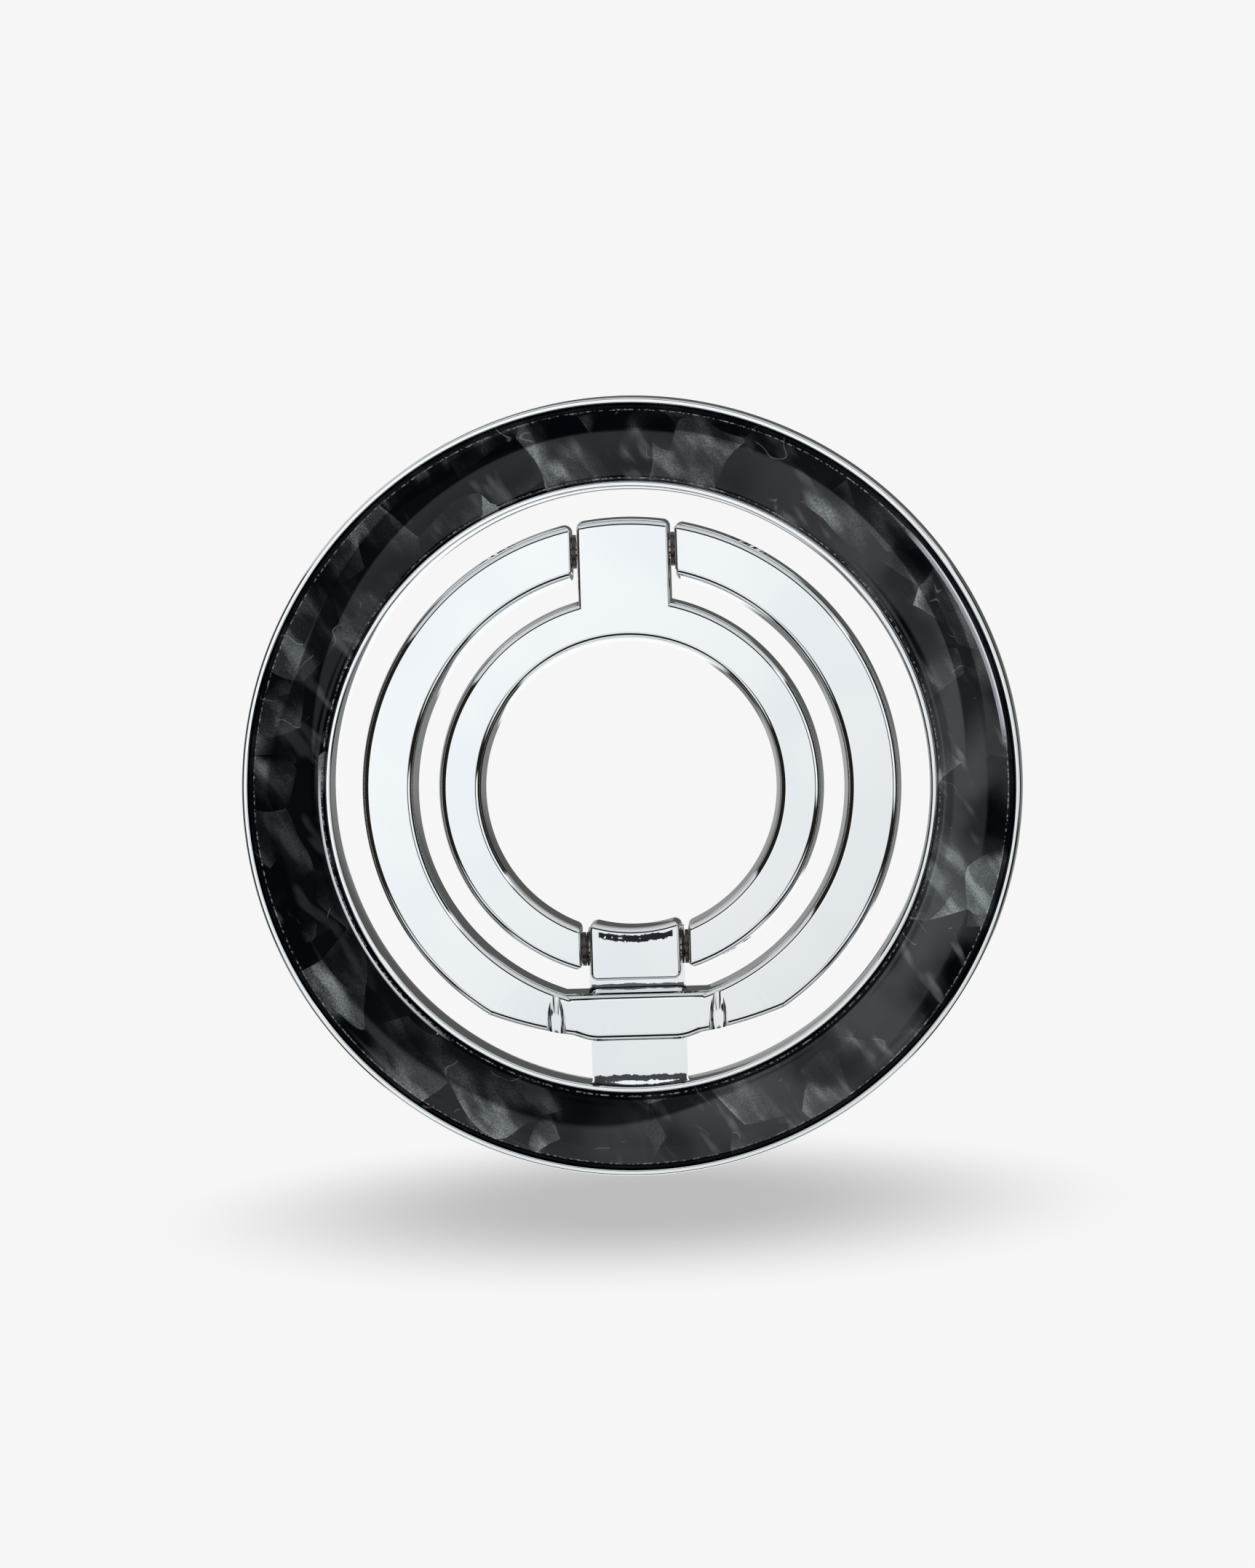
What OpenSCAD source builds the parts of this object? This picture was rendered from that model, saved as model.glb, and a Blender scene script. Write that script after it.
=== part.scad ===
// Magnetic ring holder for the back of a phone.
// A flat base ring carries the magnets and a pearl inlay. A tongue inside it ends in a hinge knuckle.
// The inner ring turns on that knuckle, and the middle ring turns on the inner ring's tab.
// The origin is the centre of the face that meets the phone. +Z points away from the phone, +Y to the tab.

/* [Base ring] */
// Outside diameter of the base ring
base_d = 58; // [56:0.5:66]
// Width of the base ring from its outside to its hole
base_w = 6.95; // [6.6:0.05:8]
// Thickness of the wall on each side of the magnet channel
wall_t = 0.75; // [0.5:0.05:0.9]
// Width of the chrome lip on each side of the inlay
lip_w = 0.45; // [0.35:0.05:0.7]
// How far the outside wall leans out between the lip and the back
wall_draft = 0.4; // [0:0.05:0.5]
// Radius on the edges of the lips
lip_fillet = 0.15; // [0.05:0.01:0.17]
// Radius on the back edges of the base ring
back_fillet = 0.25; // [0.1:0.05:0.3]

/* [Stack in the base ring] */
// Thickness of the pad that meets the phone
pad_t = 0.7; // [0.4:0.05:1]
// How far the pad stands behind the metal
pad_proud = 0.3; // [0.1:0.05:0.35]
// Thickness of the two adhesive tapes
tape_t = 0.1; // [0.05:0.01:0.2]
// Thickness of the magnets
magnet_t = 1.5; // [1:0.1:2]
// Thickness of the steel ring behind the magnets
shield_t = 0.4; // [0.2:0.05:0.6]
// Thickness of the web between the steel ring and the inlay
web_t = 0.6; // [0.4:0.05:1]
// Thickness of the inlay at its crown
inlay_t = 2.1; // [1.8:0.05:2.6]
// Height of the lips above the web
lip_h = 1.85; // [1.5:0.05:2.3]
// Play round the inlay, the tapes, the steel ring and the pad
stack_clear = 0.05; // [0.03:0.01:0.1]

/* [Inlay] */
// Rise of the domed face from the shoulder to the crown
inlay_dome = 0.2; // [0.1:0.05:0.4]
// Width of the rounded shoulder along each edge
shoulder_w = 0.55; // [0.3:0.05:0.9]
// Height of the rounded shoulder
shoulder_h = 0.42; // [0.2:0.02:0.6]

/* [Magnets] */
// Number of magnets
magnets = 18; // [10:1:24]
// Width of the magnets from their inside to their outside
magnet_w = 4; // [3:0.1:5]
// Gap between the magnets and the inner wall of their channel
magnet_wall_gap = 0.2; // [0.1:0.05:0.4]
// Gap between neighbouring magnets
magnet_gap = 0.5; // [0.2:0.1:1]

/* [Rings] */
// Thickness of the middle and the inner ring
ring_t = 2.8; // [2.4:0.05:3]
// How far the faces of these rings lie under the lips
ring_drop = 0.05; // [0:0.01:0.3]
// Gap between the base ring and the middle ring
base_gap = 2.1; // [1.6:0.05:2.6]
// Width of the middle ring
middle_w = 4.2; // [3.8:0.05:4.6]
// Gap between the middle ring and the inner ring
rings_gap = 1.5; // [1.2:0.05:1.8]
// Width of the inner ring
inner_w = 3.5; // [3:0.05:3.8]
// Radius on the front edges of the rings
front_fillet = 0.5; // [0.3:0.05:0.6]
// Radius on the back edges of the rings
rear_fillet = 0.25; // [0.1:0.05:0.3]
// How far the sides of the rings lean out towards the back
side_draft = 0.22; // [0.05:0.01:0.3]
// Radius on the upright edges at the ends of the rings, the tab and the knuckle
end_fillet = 0.55; // [0.3:0.05:0.7]

/* [Tab and middle ring ends] */
// Width of the tab on the inner ring
tab_w = 6.9; // [6:0.05:8]
// Gap between the tab and each end of the middle ring
tab_gap = 0.35; // [0.3:0.01:0.5]

/* [Thumb bar of the middle ring] */
// Half length of the bar
bar_half = 5.5; // [5:0.1:5.8]
// Half length of the straight outer edge of the bar
bar_flat_half = 3.55; // [3:0.05:4]
// How far the outer edge of the bar lies inside the ring's own outside
bar_inset = 1.09; // [0.9:0.01:1.2]
// How far the inner edge of the bar lies inside the ring's own opening
bar_reach = 0.9; // [0.7:0.01:1]
// How far the chamfers of the bar rise to its ends
bar_chamfer = 0.74; // [0.5:0.02:0.9]
// How far the necks beside the bar lie inside the ring's own outside
neck_inset = 2.3; // [2:0.05:2.4]
// Depth at the neck of the groove between the ring and each end of the bar
groove_depth = 0.6; // [0.3:0.05:0.8]
// Width of this groove
groove_w = 1.45; // [1:0.05:1.8]

/* [Tongue and knuckle] */
// Width of the tongue
tongue_w = 7.1; // [6.9:0.05:7.4]
// Gap between the tongue and the thumb bar in front of it
tongue_gap = 0.25; // [0.15:0.05:0.4]
// How far the tongue lies in front of the back edge of the base ring
tongue_raise = 0.1; // [0:0.05:0.3]
// Width of the knuckle
knuckle_w = 6.8; // [6.4:0.05:6.85]
// Gap between the knuckle and each end of the inner ring
knuckle_gap = 0.53; // [0.5:0.01:0.6]
// How far the knuckle reaches inside the inner ring's opening
knuckle_reach = 0.45; // [0.2:0.05:0.6]
// Gap between the knuckle and the thumb bar
knuckle_bar_gap = 0.72; // [0.6:0.02:1]

/* [Hinges] */
// Diameter of the hinge pins
pin_d = 1.4; // [1.2:0.05:1.5]
// Length of the lower hinge pin
lower_pin_l = 12.4; // [11:0.1:12.6]
// Length of the upper hinge pin
upper_pin_l = 14; // [12:0.1:14.6]
// Radial play of a pin in its bore
pin_clear = 0.03; // [0.01:0.005:0.08]
// Thickness of the flat washers of the lower hinge
washer_t = 0.26; // [0.2:0.01:0.3]
// Thickness of the plain washers of the upper hinge
upper_washer_t = 0.27; // [0.2:0.01:0.29]
// Diameter of all washers
washer_d = 2.5; // [2:0.05:2.6]
// Thickness of the sheet of the spring washers
spring_sheet_t = 0.14; // [0.1:0.01:0.15]
// Height of the cone of the spring washers
spring_cone_h = 0.05; // [0.03:0.01:0.06]

/* [Hidden] */
$fn = 180;

// Radii, from the outside in
base_r = base_d / 2;
hole_r = base_r - base_w;
middle_r = hole_r - base_gap;
middle_hole_r = middle_r - middle_w;
inner_r = middle_hole_r - rings_gap;
inner_hole_r = inner_r - inner_w;
channel_r = base_r - wall_t;
channel_hole_r = hole_r + wall_t;
pocket_r = base_r - wall_draft - lip_w;
pocket_hole_r = hole_r + lip_w;

// Heights, from the back up
pad_top = pad_t;
magnet_z = pad_top + tape_t;
shield_z = magnet_z + magnet_t;
web_z = shield_z + shield_t;
web_top = web_z + web_t;
inlay_z = web_top + tape_t;
crown_z = inlay_z + inlay_t;
lip_z = web_top + lip_h;
ring_top = lip_z - ring_drop;
ring_z = ring_top - ring_t;
hinge_z = ring_z + ring_t / 2;
tongue_z = pad_proud + tongue_raise;
tongue_top = ring_z - tongue_gap;

// Hinges: each axis crosses the middle of the ring ends that it holds
tab_end_x = tab_w / 2 + tab_gap;
knuckle_end_x = knuckle_w / 2 + knuckle_gap;
middle_mid_r = (middle_r + middle_hole_r) / 2;
inner_mid_r = (inner_r + inner_hole_r) / 2;
upper_y = sqrt(pow(middle_mid_r, 2) - pow(tab_end_x, 2));
lower_y = -sqrt(pow(inner_mid_r, 2) - pow(knuckle_end_x, 2));
pin_r = pin_d / 2;
bore_r = pin_r + pin_clear;
// Gap left over beside the washers of each hinge
lower_play = knuckle_gap - washer_t - spring_sheet_t - spring_cone_h;
upper_play = tab_gap - upper_washer_t;

// Thumb bar
bar_inner_y = -(middle_hole_r - bar_reach);
bar_outer_y = -(middle_r - bar_inset);
neck_y = -(middle_r - neck_inset);
knuckle_back_y = bar_inner_y + knuckle_bar_gap;
groove_r = (pow(groove_w / 2, 2) + pow(groove_depth, 2)) / (2 * groove_depth);

// Small allowances for cuts that run past a face
over = 1;
arc_steps = 6;
bar_layers = 5;

function magnet_name(i) = str("magnet_", i < 10 ? "0" : "", i);

// Points of an arc of radius r about c, from angle a0 to angle a1
function arc(c, r, a0, a1, steps = arc_steps) =
    [for (i = [0 : steps]) c + r * [cos(a0 + (a1 - a0) * i / steps), sin(a0 + (a1 - a0) * i / steps)]];

// How far in the side of a ring has moved at height h above its back
function side_inset(h) =
    h < rear_fillet
        ? rear_fillet - sqrt(pow(rear_fillet, 2) - pow(rear_fillet - h, 2))
        : h > ring_t - front_fillet
            ? side_draft + front_fillet - sqrt(pow(front_fillet, 2) - pow(h - ring_t + front_fillet, 2))
            : side_draft * (h - rear_fillet) / (ring_t - front_fillet - rear_fillet);

// Cross-section of a ring of width w, centred on the Y axis, with its back on the X axis
module ring_section(w) {
    half = w / 2;
    right = concat(
        arc([half - rear_fillet, rear_fillet], rear_fillet, -90, 0),
        arc([half - side_draft - front_fillet, ring_t - front_fillet], front_fillet, 0, 90));
    polygon(concat(right, [for (i = [len(right) - 1 : -1 : 0]) [-right[i][0], right[i][1]]]));
}

// A full ring of that section
module section_ring(r, w) {
    translate([0, 0, ring_z])
        rotate_extrude()
            translate([r - w / 2, 0])
                ring_section(w);
}

// A straight bar of that section along Y, from y0 to y1
module section_bar(w, y0, y1) {
    translate([0, y1, ring_z])
        rotate([90, 0, 0])
            linear_extrude(height = y1 - y0)
                ring_section(w);
}

// A tool that rounds an edge along +Y at height z: the metal lies at -X and below
module edge_round(r, length) {
    translate([0, length, 0])
        rotate([90, 0, 0])
            linear_extrude(height = length)
                difference() {
                    translate([-r, -r])
                        square([r + over, r + over]);
                    translate([-r, -r])
                        circle(r = r, $fn = 48);
                }
}

// A tool that rounds the upright edge between a wall of radius r and an end face at x
// The metal lies at +X, inside the wall if side is 1 and outside it if side is -1
module end_round(r, x, side) {
    from_axis = r - side * end_fillet;
    mid = [x + end_fillet, sqrt(pow(from_axis, 2) - pow(x + end_fillet, 2))];
    touch = mid * (r + side * over) / from_axis;
    translate([0, 0, -over])
        linear_extrude(height = lip_z + 2 * over)
            difference() {
                polygon([[x - over, mid[1]], mid, touch, [x - over, touch[1]]]);
                translate(mid)
                    circle(r = end_fillet, $fn = 48);
            }
}

// A tool that rounds an upright edge at [0, 0]: the metal lies at -X and +Y
module upright_round(height) {
    linear_extrude(height = height)
        difference() {
            translate([-end_fillet, -over])
                square([end_fillet + over, end_fillet + over]);
            translate([-end_fillet, end_fillet])
                circle(r = end_fillet, $fn = 48);
        }
}

// A hole along X through a hinge, from x0 to x1: a running fit unless a radius is given
module hinge_bore(y, x0, x1, r = bore_r) {
    translate([x0, y, hinge_z])
        rotate([0, 90, 0])
            cylinder(r = r, h = x1 - x0, $fn = 64);
}

// A washer round a hinge axis, with its left face at x
module washer(x, y, t) {
    translate([x, y, hinge_z])
        rotate([0, 90, 0])
            difference() {
                cylinder(d = washer_d, h = t, $fn = 64);
                translate([0, 0, -over])
                    cylinder(r = bore_r, h = t + 2 * over, $fn = 64);
            }
}

// A slightly coned washer whose small end faces +X
module spring_washer() {
    rotate([0, 90, 0])
        rotate_extrude($fn = 64)
            polygon([
                [bore_r, spring_cone_h],
                [washer_d / 2, 0],
                [washer_d / 2, spring_sheet_t],
                [bore_r, spring_cone_h + spring_sheet_t]]);
}

// Half section of the base casting: an H lying on its side, open to the back and to the front
module base_section() {
    draft_top = lip_z - lip_fillet;
    lip_r = base_r - wall_draft;
    polygon(concat(
        arc([hole_r + back_fillet, pad_proud + back_fillet], back_fillet, 270, 180),
        arc([hole_r + lip_fillet, draft_top], lip_fillet, 180, 90),
        arc([pocket_hole_r - lip_fillet, draft_top], lip_fillet, 90, 0),
        [[pocket_hole_r, web_top], [pocket_r, web_top]],
        arc([pocket_r + lip_fillet, draft_top], lip_fillet, 180, 90),
        arc([lip_r - lip_fillet, draft_top], lip_fillet, 90, 0),
        arc([base_r - back_fillet, pad_proud + back_fillet], back_fillet, 0, -90),
        [[channel_r, pad_proud], [channel_r, web_z], [channel_hole_r, web_z], [channel_hole_r, pad_proud]]));
}

// The flat tongue that carries the knuckle: it ends inside the inner wall of the base ring
module tongue() {
    intersection() {
        translate([-tongue_w / 2, -(hole_r + wall_t / 2), tongue_z])
            cube([tongue_w, hole_r + wall_t / 2 - inner_hole_r + knuckle_reach, tongue_top - tongue_z]);
        difference() {
            cylinder(r = hole_r + wall_t / 2, h = lip_z);
            translate([0, 0, -over])
                cylinder(r = inner_hole_r - knuckle_reach, h = lip_z + 2 * over);
        }
    }
}

// The block that stands on the end of the tongue, with a concave edge towards the finger hole
module knuckle() {
    edge_r = inner_hole_r - knuckle_reach;
    difference() {
        union() {
            section_bar(knuckle_w, -inner_r, -edge_r / 2);
            translate([-knuckle_w / 2, -inner_r, tongue_z])
                cube([knuckle_w, inner_r - edge_r / 2, ring_z + rear_fillet - tongue_z]);
        }
        // Concave edge, flared at the front
        rotate_extrude()
            polygon(concat(
                [[0, 0], [edge_r, 0]],
                arc([edge_r + front_fillet, ring_top - front_fillet], front_fillet, 180, 90),
                [[edge_r + front_fillet, ring_top + over], [0, ring_top + over]]));
        // Straight edge towards the thumb bar
        translate([-knuckle_w, -inner_r - over, 0])
            cube([2 * knuckle_w, inner_r + over + knuckle_back_y, ring_top + over]);
        translate([-knuckle_w, knuckle_back_y, ring_top])
            rotate([0, 0, -90])
                edge_round(front_fillet, 2 * knuckle_w);
        // Upright edges of the straight side
        for (side = [0, 1])
            mirror([side, 0, 0])
                translate([knuckle_w / 2, knuckle_back_y, tongue_top])
                    upright_round(ring_t + over);
    }
}

// One casting: the base ring, its tongue and the lower knuckle
module base_frame() {
    color("gainsboro")
        difference() {
            union() {
                rotate_extrude()
                    base_section();
                tongue();
                knuckle();
            }
            hinge_bore(lower_y, -knuckle_w, knuckle_w);
            // Upright edges beside the concave edge
            for (side = [0, 1])
                mirror([side, 0, 0])
                    mirror([0, 1, 0])
                        end_round(inner_hole_r - knuckle_reach, -knuckle_w / 2, -1);
        }
}

// Domed resin ring with the pearl pattern
module inlay_ring() {
    r0 = pocket_hole_r + stack_clear;
    r1 = pocket_r - stack_clear;
    mid_r = (r0 + r1) / 2;
    half = (r1 - r0) / 2 - shoulder_w;
    dome_r = (pow(half, 2) + pow(inlay_dome, 2)) / (2 * inlay_dome);
    dome_a = asin(half / dome_r);
    shoulder_z = crown_z - inlay_dome - shoulder_h;
    color([0.1, 0.11, 0.12])
        rotate_extrude()
            polygon(concat(
                [[r0, inlay_z]],
                [for (i = [0 : arc_steps])
                    let (a = 90 * i / arc_steps)
                    [r0 + shoulder_w * (1 - cos(a)), shoulder_z + shoulder_h * sin(a)]],
                arc([mid_r, crown_z - dome_r], dome_r, 90 + dome_a, 90 - dome_a, 2 * arc_steps),
                [for (i = [arc_steps : -1 : 0])
                    let (a = 90 * i / arc_steps)
                    [r1 - shoulder_w * (1 - cos(a)), shoulder_z + shoulder_h * sin(a)]],
                [[r1, inlay_z]]));
}

// A flat ring between two radii
module flat_ring(r_hole, r_out, z, t) {
    translate([0, 0, z])
        difference() {
            cylinder(r = r_out, h = t);
            translate([0, 0, -over])
                cylinder(r = r_hole, h = t + 2 * over);
        }
}

// Adhesive under the inlay
module inlay_tape() {
    color("white")
        flat_ring(pocket_hole_r + 2 * stack_clear, pocket_r - 2 * stack_clear, web_top, tape_t);
}

// Steel ring that closes the magnets' field towards the front
module steel_shield() {
    color("silver")
        flat_ring(channel_hole_r + stack_clear, channel_r - stack_clear, shield_z, shield_t);
}

// One arc-shaped magnet of the ring
module magnet(i) {
    r_in = channel_hole_r + magnet_wall_gap;
    pitch = 360 / magnets;
    gap_angle = magnet_gap / r_in * 180 / PI;
    color("lightslategray")
        translate([0, 0, magnet_z])
            rotate([0, 0, pitch * (i - 1) + gap_angle / 2])
                rotate_extrude(angle = pitch - gap_angle)
                    translate([r_in, 0])
                        square([magnet_w, magnet_t]);
}

// Adhesive that holds the pad on the magnets
module pad_tape() {
    color("white")
        flat_ring(channel_hole_r + 2 * stack_clear, channel_r - 2 * stack_clear, pad_top, tape_t);
}

// Soft pad that meets the phone
module back_pad() {
    r0 = channel_hole_r + stack_clear;
    r1 = channel_r - stack_clear;
    edge = pad_proud / 2;
    color([0.12, 0.12, 0.13])
        rotate_extrude()
            polygon(concat(
                arc([r0 + edge, edge], edge, 180, 270),
                arc([r1 - edge, edge], edge, 270, 360),
                [[r1, pad_t], [r0, pad_t]]));
}

// The C-shaped inner ring with the tab that carries the middle ring
module inner_ring() {
    color("gainsboro")
        difference() {
            union() {
                section_ring(inner_r, inner_w);
                intersection() {
                    section_bar(tab_w, inner_mid_r, middle_r + over);
                    // Disc with the middle ring's own outside
                    translate([0, 0, ring_z])
                        rotate_extrude()
                            intersection() {
                                ring_section(2 * middle_r);
                                square([middle_r, ring_t]);
                            }
                }
            }
            // Gap for the knuckle, with rounded ends
            translate([-knuckle_end_x, -inner_r - over, ring_z - over])
                cube([2 * knuckle_end_x, inner_r + over, ring_t + 2 * over]);
            for (side = [0, 1])
                mirror([side, 0, 0]) {
                    translate([knuckle_end_x, 0, ring_top])
                        rotate([0, 0, 180])
                            edge_round(front_fillet, inner_r + over);
                    mirror([0, 1, 0]) {
                        end_round(inner_r, knuckle_end_x, 1);
                        end_round(inner_hole_r, knuckle_end_x, -1);
                    }
                }
            // The lower pin is pressed in from the right
            hinge_bore(lower_y, -lower_pin_l / 2, inner_r, pin_r);
            hinge_bore(upper_y, -tab_w, tab_w);
            // Outer corners of the tab
            for (side = [0, 1])
                mirror([side, 0, 0])
                    end_round(middle_r, -tab_w / 2, 1);
        }
}

// Plan of the thumb bar, with every side moved in by d
module bar_plan(d) {
    chamfer_angle = atan(bar_chamfer / (bar_half - bar_flat_half));
    shift = d * tan(chamfer_angle / 2);
    polygon([
        [-bar_half + d, bar_inner_y - d],
        [bar_half - d, bar_inner_y - d],
        [bar_half - d, bar_outer_y + bar_chamfer + d * (1 - cos(chamfer_angle)) / sin(chamfer_angle) + shift],
        [bar_flat_half - shift, bar_outer_y + d],
        [-bar_flat_half + shift, bar_outer_y + d],
        [-bar_half + d, bar_outer_y + bar_chamfer + d * (1 - cos(chamfer_angle)) / sin(chamfer_angle) + shift]]);
}

// Thumb bar with rounded front and back edges
module thumb_bar() {
    slice = 0.01;
    levels = concat(
        [for (i = [0 : bar_layers]) rear_fillet * (1 - cos(90 * i / bar_layers))],
        [for (i = [0 : bar_layers]) ring_t - slice - front_fillet * (1 - sin(90 * i / bar_layers))]);
    hull()
        for (h = levels)
            translate([0, 0, ring_z + h])
                linear_extrude(height = slice)
                    bar_plan(side_inset(h));
}

// The middle ring: open at the tab, with a flat thumb bar opposite
module middle_ring() {
    neck_x = sqrt(pow(middle_r, 2) - pow(neck_y, 2));
    groove_x = bar_half + groove_w / 2 - rear_fillet;
    groove_start_y = -sqrt(pow(middle_hole_r + front_fillet, 2) - pow(groove_x, 2));
    groove_tilt = atan(groove_depth / (groove_start_y - neck_y));
    color("gainsboro")
        union() {
            difference() {
                section_ring(middle_r, middle_w);
                // Gap for the tab, with rounded ends
                translate([-tab_end_x, 0, ring_z - over])
                    cube([2 * tab_end_x, middle_r + over, ring_t + 2 * over]);
                for (side = [0, 1])
                    mirror([side, 0, 0]) {
                        translate([tab_end_x, middle_r + over, ring_top])
                            rotate([0, 0, 180])
                                edge_round(front_fillet, middle_r + over);
                        end_round(middle_r, tab_end_x, 1);
                        end_round(middle_hole_r, tab_end_x, -1);
                    }
                // Necks beside the thumb bar, with a rounded front edge
                translate([-neck_x, -middle_r - over, ring_z - over])
                    cube([2 * neck_x, middle_r + over + neck_y, ring_t + 2 * over]);
                translate([-neck_x, neck_y, ring_top])
                    rotate([0, 0, -90])
                        edge_round(front_fillet, 2 * neck_x);
                // Grooves that set the bar off from the ring: they deepen from the opening to the neck
                for (side = [-1, 1])
                    translate([side * groove_x, groove_start_y, ring_top + groove_r / cos(groove_tilt)])
                        rotate([90 + groove_tilt, 0, 0])
                            cylinder(r = groove_r, h = middle_w + over, $fn = 64);
                hinge_bore(upper_y, -middle_r, middle_r);
            }
            thumb_bar();
        }
}

// Straight pins of the two hinges
module hinge_pin(y, length) {
    color("goldenrod")
        translate([-length / 2, y, hinge_z])
            rotate([0, 90, 0])
                cylinder(d = pin_d, h = length, $fn = 64);
}

module lower_hinge_pin() {
    hinge_pin(lower_y, lower_pin_l);
}

module upper_hinge_pin() {
    hinge_pin(upper_y, upper_pin_l);
}

module lower_washer_left() {
    color("dimgray")
        washer(-knuckle_end_x + lower_play / 3, lower_y, washer_t);
}

module lower_washer_right() {
    color("dimgray")
        washer(knuckle_end_x - lower_play / 3 - washer_t, lower_y, washer_t);
}

module lower_spring_washer_right() {
    color("goldenrod")
        translate([knuckle_w / 2 + lower_play / 3, lower_y, hinge_z])
            spring_washer();
}

module lower_spring_washer_left() {
    color("goldenrod")
        mirror([1, 0, 0])
            translate([knuckle_w / 2 + lower_play / 3, lower_y, hinge_z])
                spring_washer();
}

module upper_washer_left() {
    color("dimgray")
        washer(-tab_end_x + upper_play / 2, upper_y, upper_washer_t);
}

module upper_washer_right() {
    color("dimgray")
        washer(tab_w / 2 + upper_play / 2, upper_y, upper_washer_t);
}

base_frame();
inlay_ring();
inlay_tape();
steel_shield();
for (i = [1 : magnets]) {
    magnet(i);
}
pad_tape();
back_pad();
inner_ring();
lower_hinge_pin();
lower_washer_left();
lower_washer_right();
lower_spring_washer_left();
lower_spring_washer_right();
middle_ring();
upper_hinge_pin();
upper_washer_left();
upper_washer_right();
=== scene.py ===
# %% [markdown]
# # Phone ring holder
# A magnetic ring holder for the back of a phone. A flat base ring carries a dark pearl inlay between two
# chrome lips. A tongue inside it ends in a hinge knuckle, the inner ring turns on that knuckle, and the
# middle ring turns on the inner ring's tab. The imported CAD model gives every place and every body.
# %% Load the frame
import math

import bmesh
import bpy
from mathutils import Matrix, Vector


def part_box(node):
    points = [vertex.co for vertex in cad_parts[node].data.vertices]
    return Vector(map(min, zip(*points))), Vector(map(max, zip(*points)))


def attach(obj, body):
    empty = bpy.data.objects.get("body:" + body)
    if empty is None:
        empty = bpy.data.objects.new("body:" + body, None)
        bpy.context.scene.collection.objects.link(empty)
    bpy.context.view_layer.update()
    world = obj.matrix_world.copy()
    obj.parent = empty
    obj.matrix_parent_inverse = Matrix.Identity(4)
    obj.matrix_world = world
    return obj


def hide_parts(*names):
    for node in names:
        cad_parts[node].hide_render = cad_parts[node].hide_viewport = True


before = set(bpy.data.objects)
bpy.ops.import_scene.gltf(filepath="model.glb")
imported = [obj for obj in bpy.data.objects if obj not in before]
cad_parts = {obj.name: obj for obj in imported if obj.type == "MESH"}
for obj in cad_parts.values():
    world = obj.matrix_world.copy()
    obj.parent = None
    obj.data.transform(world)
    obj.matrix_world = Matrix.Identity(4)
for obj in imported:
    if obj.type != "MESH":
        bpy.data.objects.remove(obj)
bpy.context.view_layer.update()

# %% [markdown]
# ## Sizes
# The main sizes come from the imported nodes, so the visible pieces fit the solids. What a node's box can't
# tell, such as the width of a ring's band or a fillet, is a named value. All of these are millimetres, as
# on a maker's drawing: each piece is modelled in millimetres, because Blender's cuts and bevels are
# steadier there, and is scaled down once.
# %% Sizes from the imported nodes
MM = 0.001
BASE_BAND_W = 6.95
MIDDLE_BAND_W = 4.2
INNER_BAND_W = 3.5


def box_mm(node):
    """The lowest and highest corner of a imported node, in millimetres."""
    return [Vector(corner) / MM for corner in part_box(node)]


base_low, base_high = box_mm("base_frame")
middle_low, middle_high = box_mm("middle_ring")
_, inner_high = box_mm("inner_ring")
lower_pin_low, lower_pin_high = box_mm("lower_hinge_pin")
upper_pin_low, upper_pin_high = box_mm("upper_hinge_pin")

BASE_R = base_high.x
HOLE_R = BASE_R - BASE_BAND_W
MIDDLE_R = middle_high.x
MIDDLE_HOLE_R = MIDDLE_R - MIDDLE_BAND_W
INNER_R = inner_high.x
INNER_HOLE_R = INNER_R - INNER_BAND_W
BACK_Z = base_low.z
LIP_Z = base_high.z
RING_Z = middle_low.z
RING_TOP = middle_high.z
RING_T = RING_TOP - RING_Z
HINGE_Z = (lower_pin_low.z + lower_pin_high.z) / 2
LOWER_Y = (lower_pin_low.y + lower_pin_high.y) / 2
UPPER_Y = (upper_pin_low.y + upper_pin_high.y) / 2
PIN_R = (upper_pin_high.z - upper_pin_low.z) / 2
print("base radius mm", round(BASE_R, 3), "middle", round(MIDDLE_R, 3), "inner", round(INNER_R, 3))

# %% [markdown]
# ## Modelling by hand, in code
# Every metal piece here is a turned or milled shape. A turned one starts as a circle that is extruded and
# scaled from point to point of its profile. A milled one starts as a cube or a drawn outline, and other
# shapes are cut from it. A sharp edge has no highlight, so each edge is rounded: by an arc in the profile,
# by a bevel on edges that are picked by their place, or by a tool that cuts along the edge. NEAR is how
# close an edge must lie to a place to be picked there, and OVER is how far a tool reaches past the metal.
# %% Helpers for selecting
NEAR = 0.01
OVER = 1


def deselect():
    """Leaves nothing selected, so that the next operator acts on the new piece alone."""
    bpy.ops.object.select_all(action="DESELECT")


def only(piece):
    """Makes one piece the selected and active one."""
    deselect()
    piece.select_set(True)
    bpy.context.view_layer.objects.active = piece


def pick(piece, kind, test):
    """Selects just those faces or edges of a piece in edit mode that pass a test."""
    mesh = bmesh.from_edit_mesh(piece.data)
    parts = getattr(mesh, kind)
    chosen = [part for part in parts if test(part)]
    for part in parts:
        part.select = False
    for part in chosen:
        part.select = True
    bmesh.update_edit_mesh(piece.data)


def settle(piece, name):
    """Gives a new piece its name, with its place applied to its mesh."""
    only(piece)
    bpy.ops.object.transform_apply(location=True, rotation=True, scale=True)
    piece.name = name
    piece.data.name = name
    return piece


# %% Helpers for cutting and rounding
SHARP_ANGLE = math.radians(15)


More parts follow.
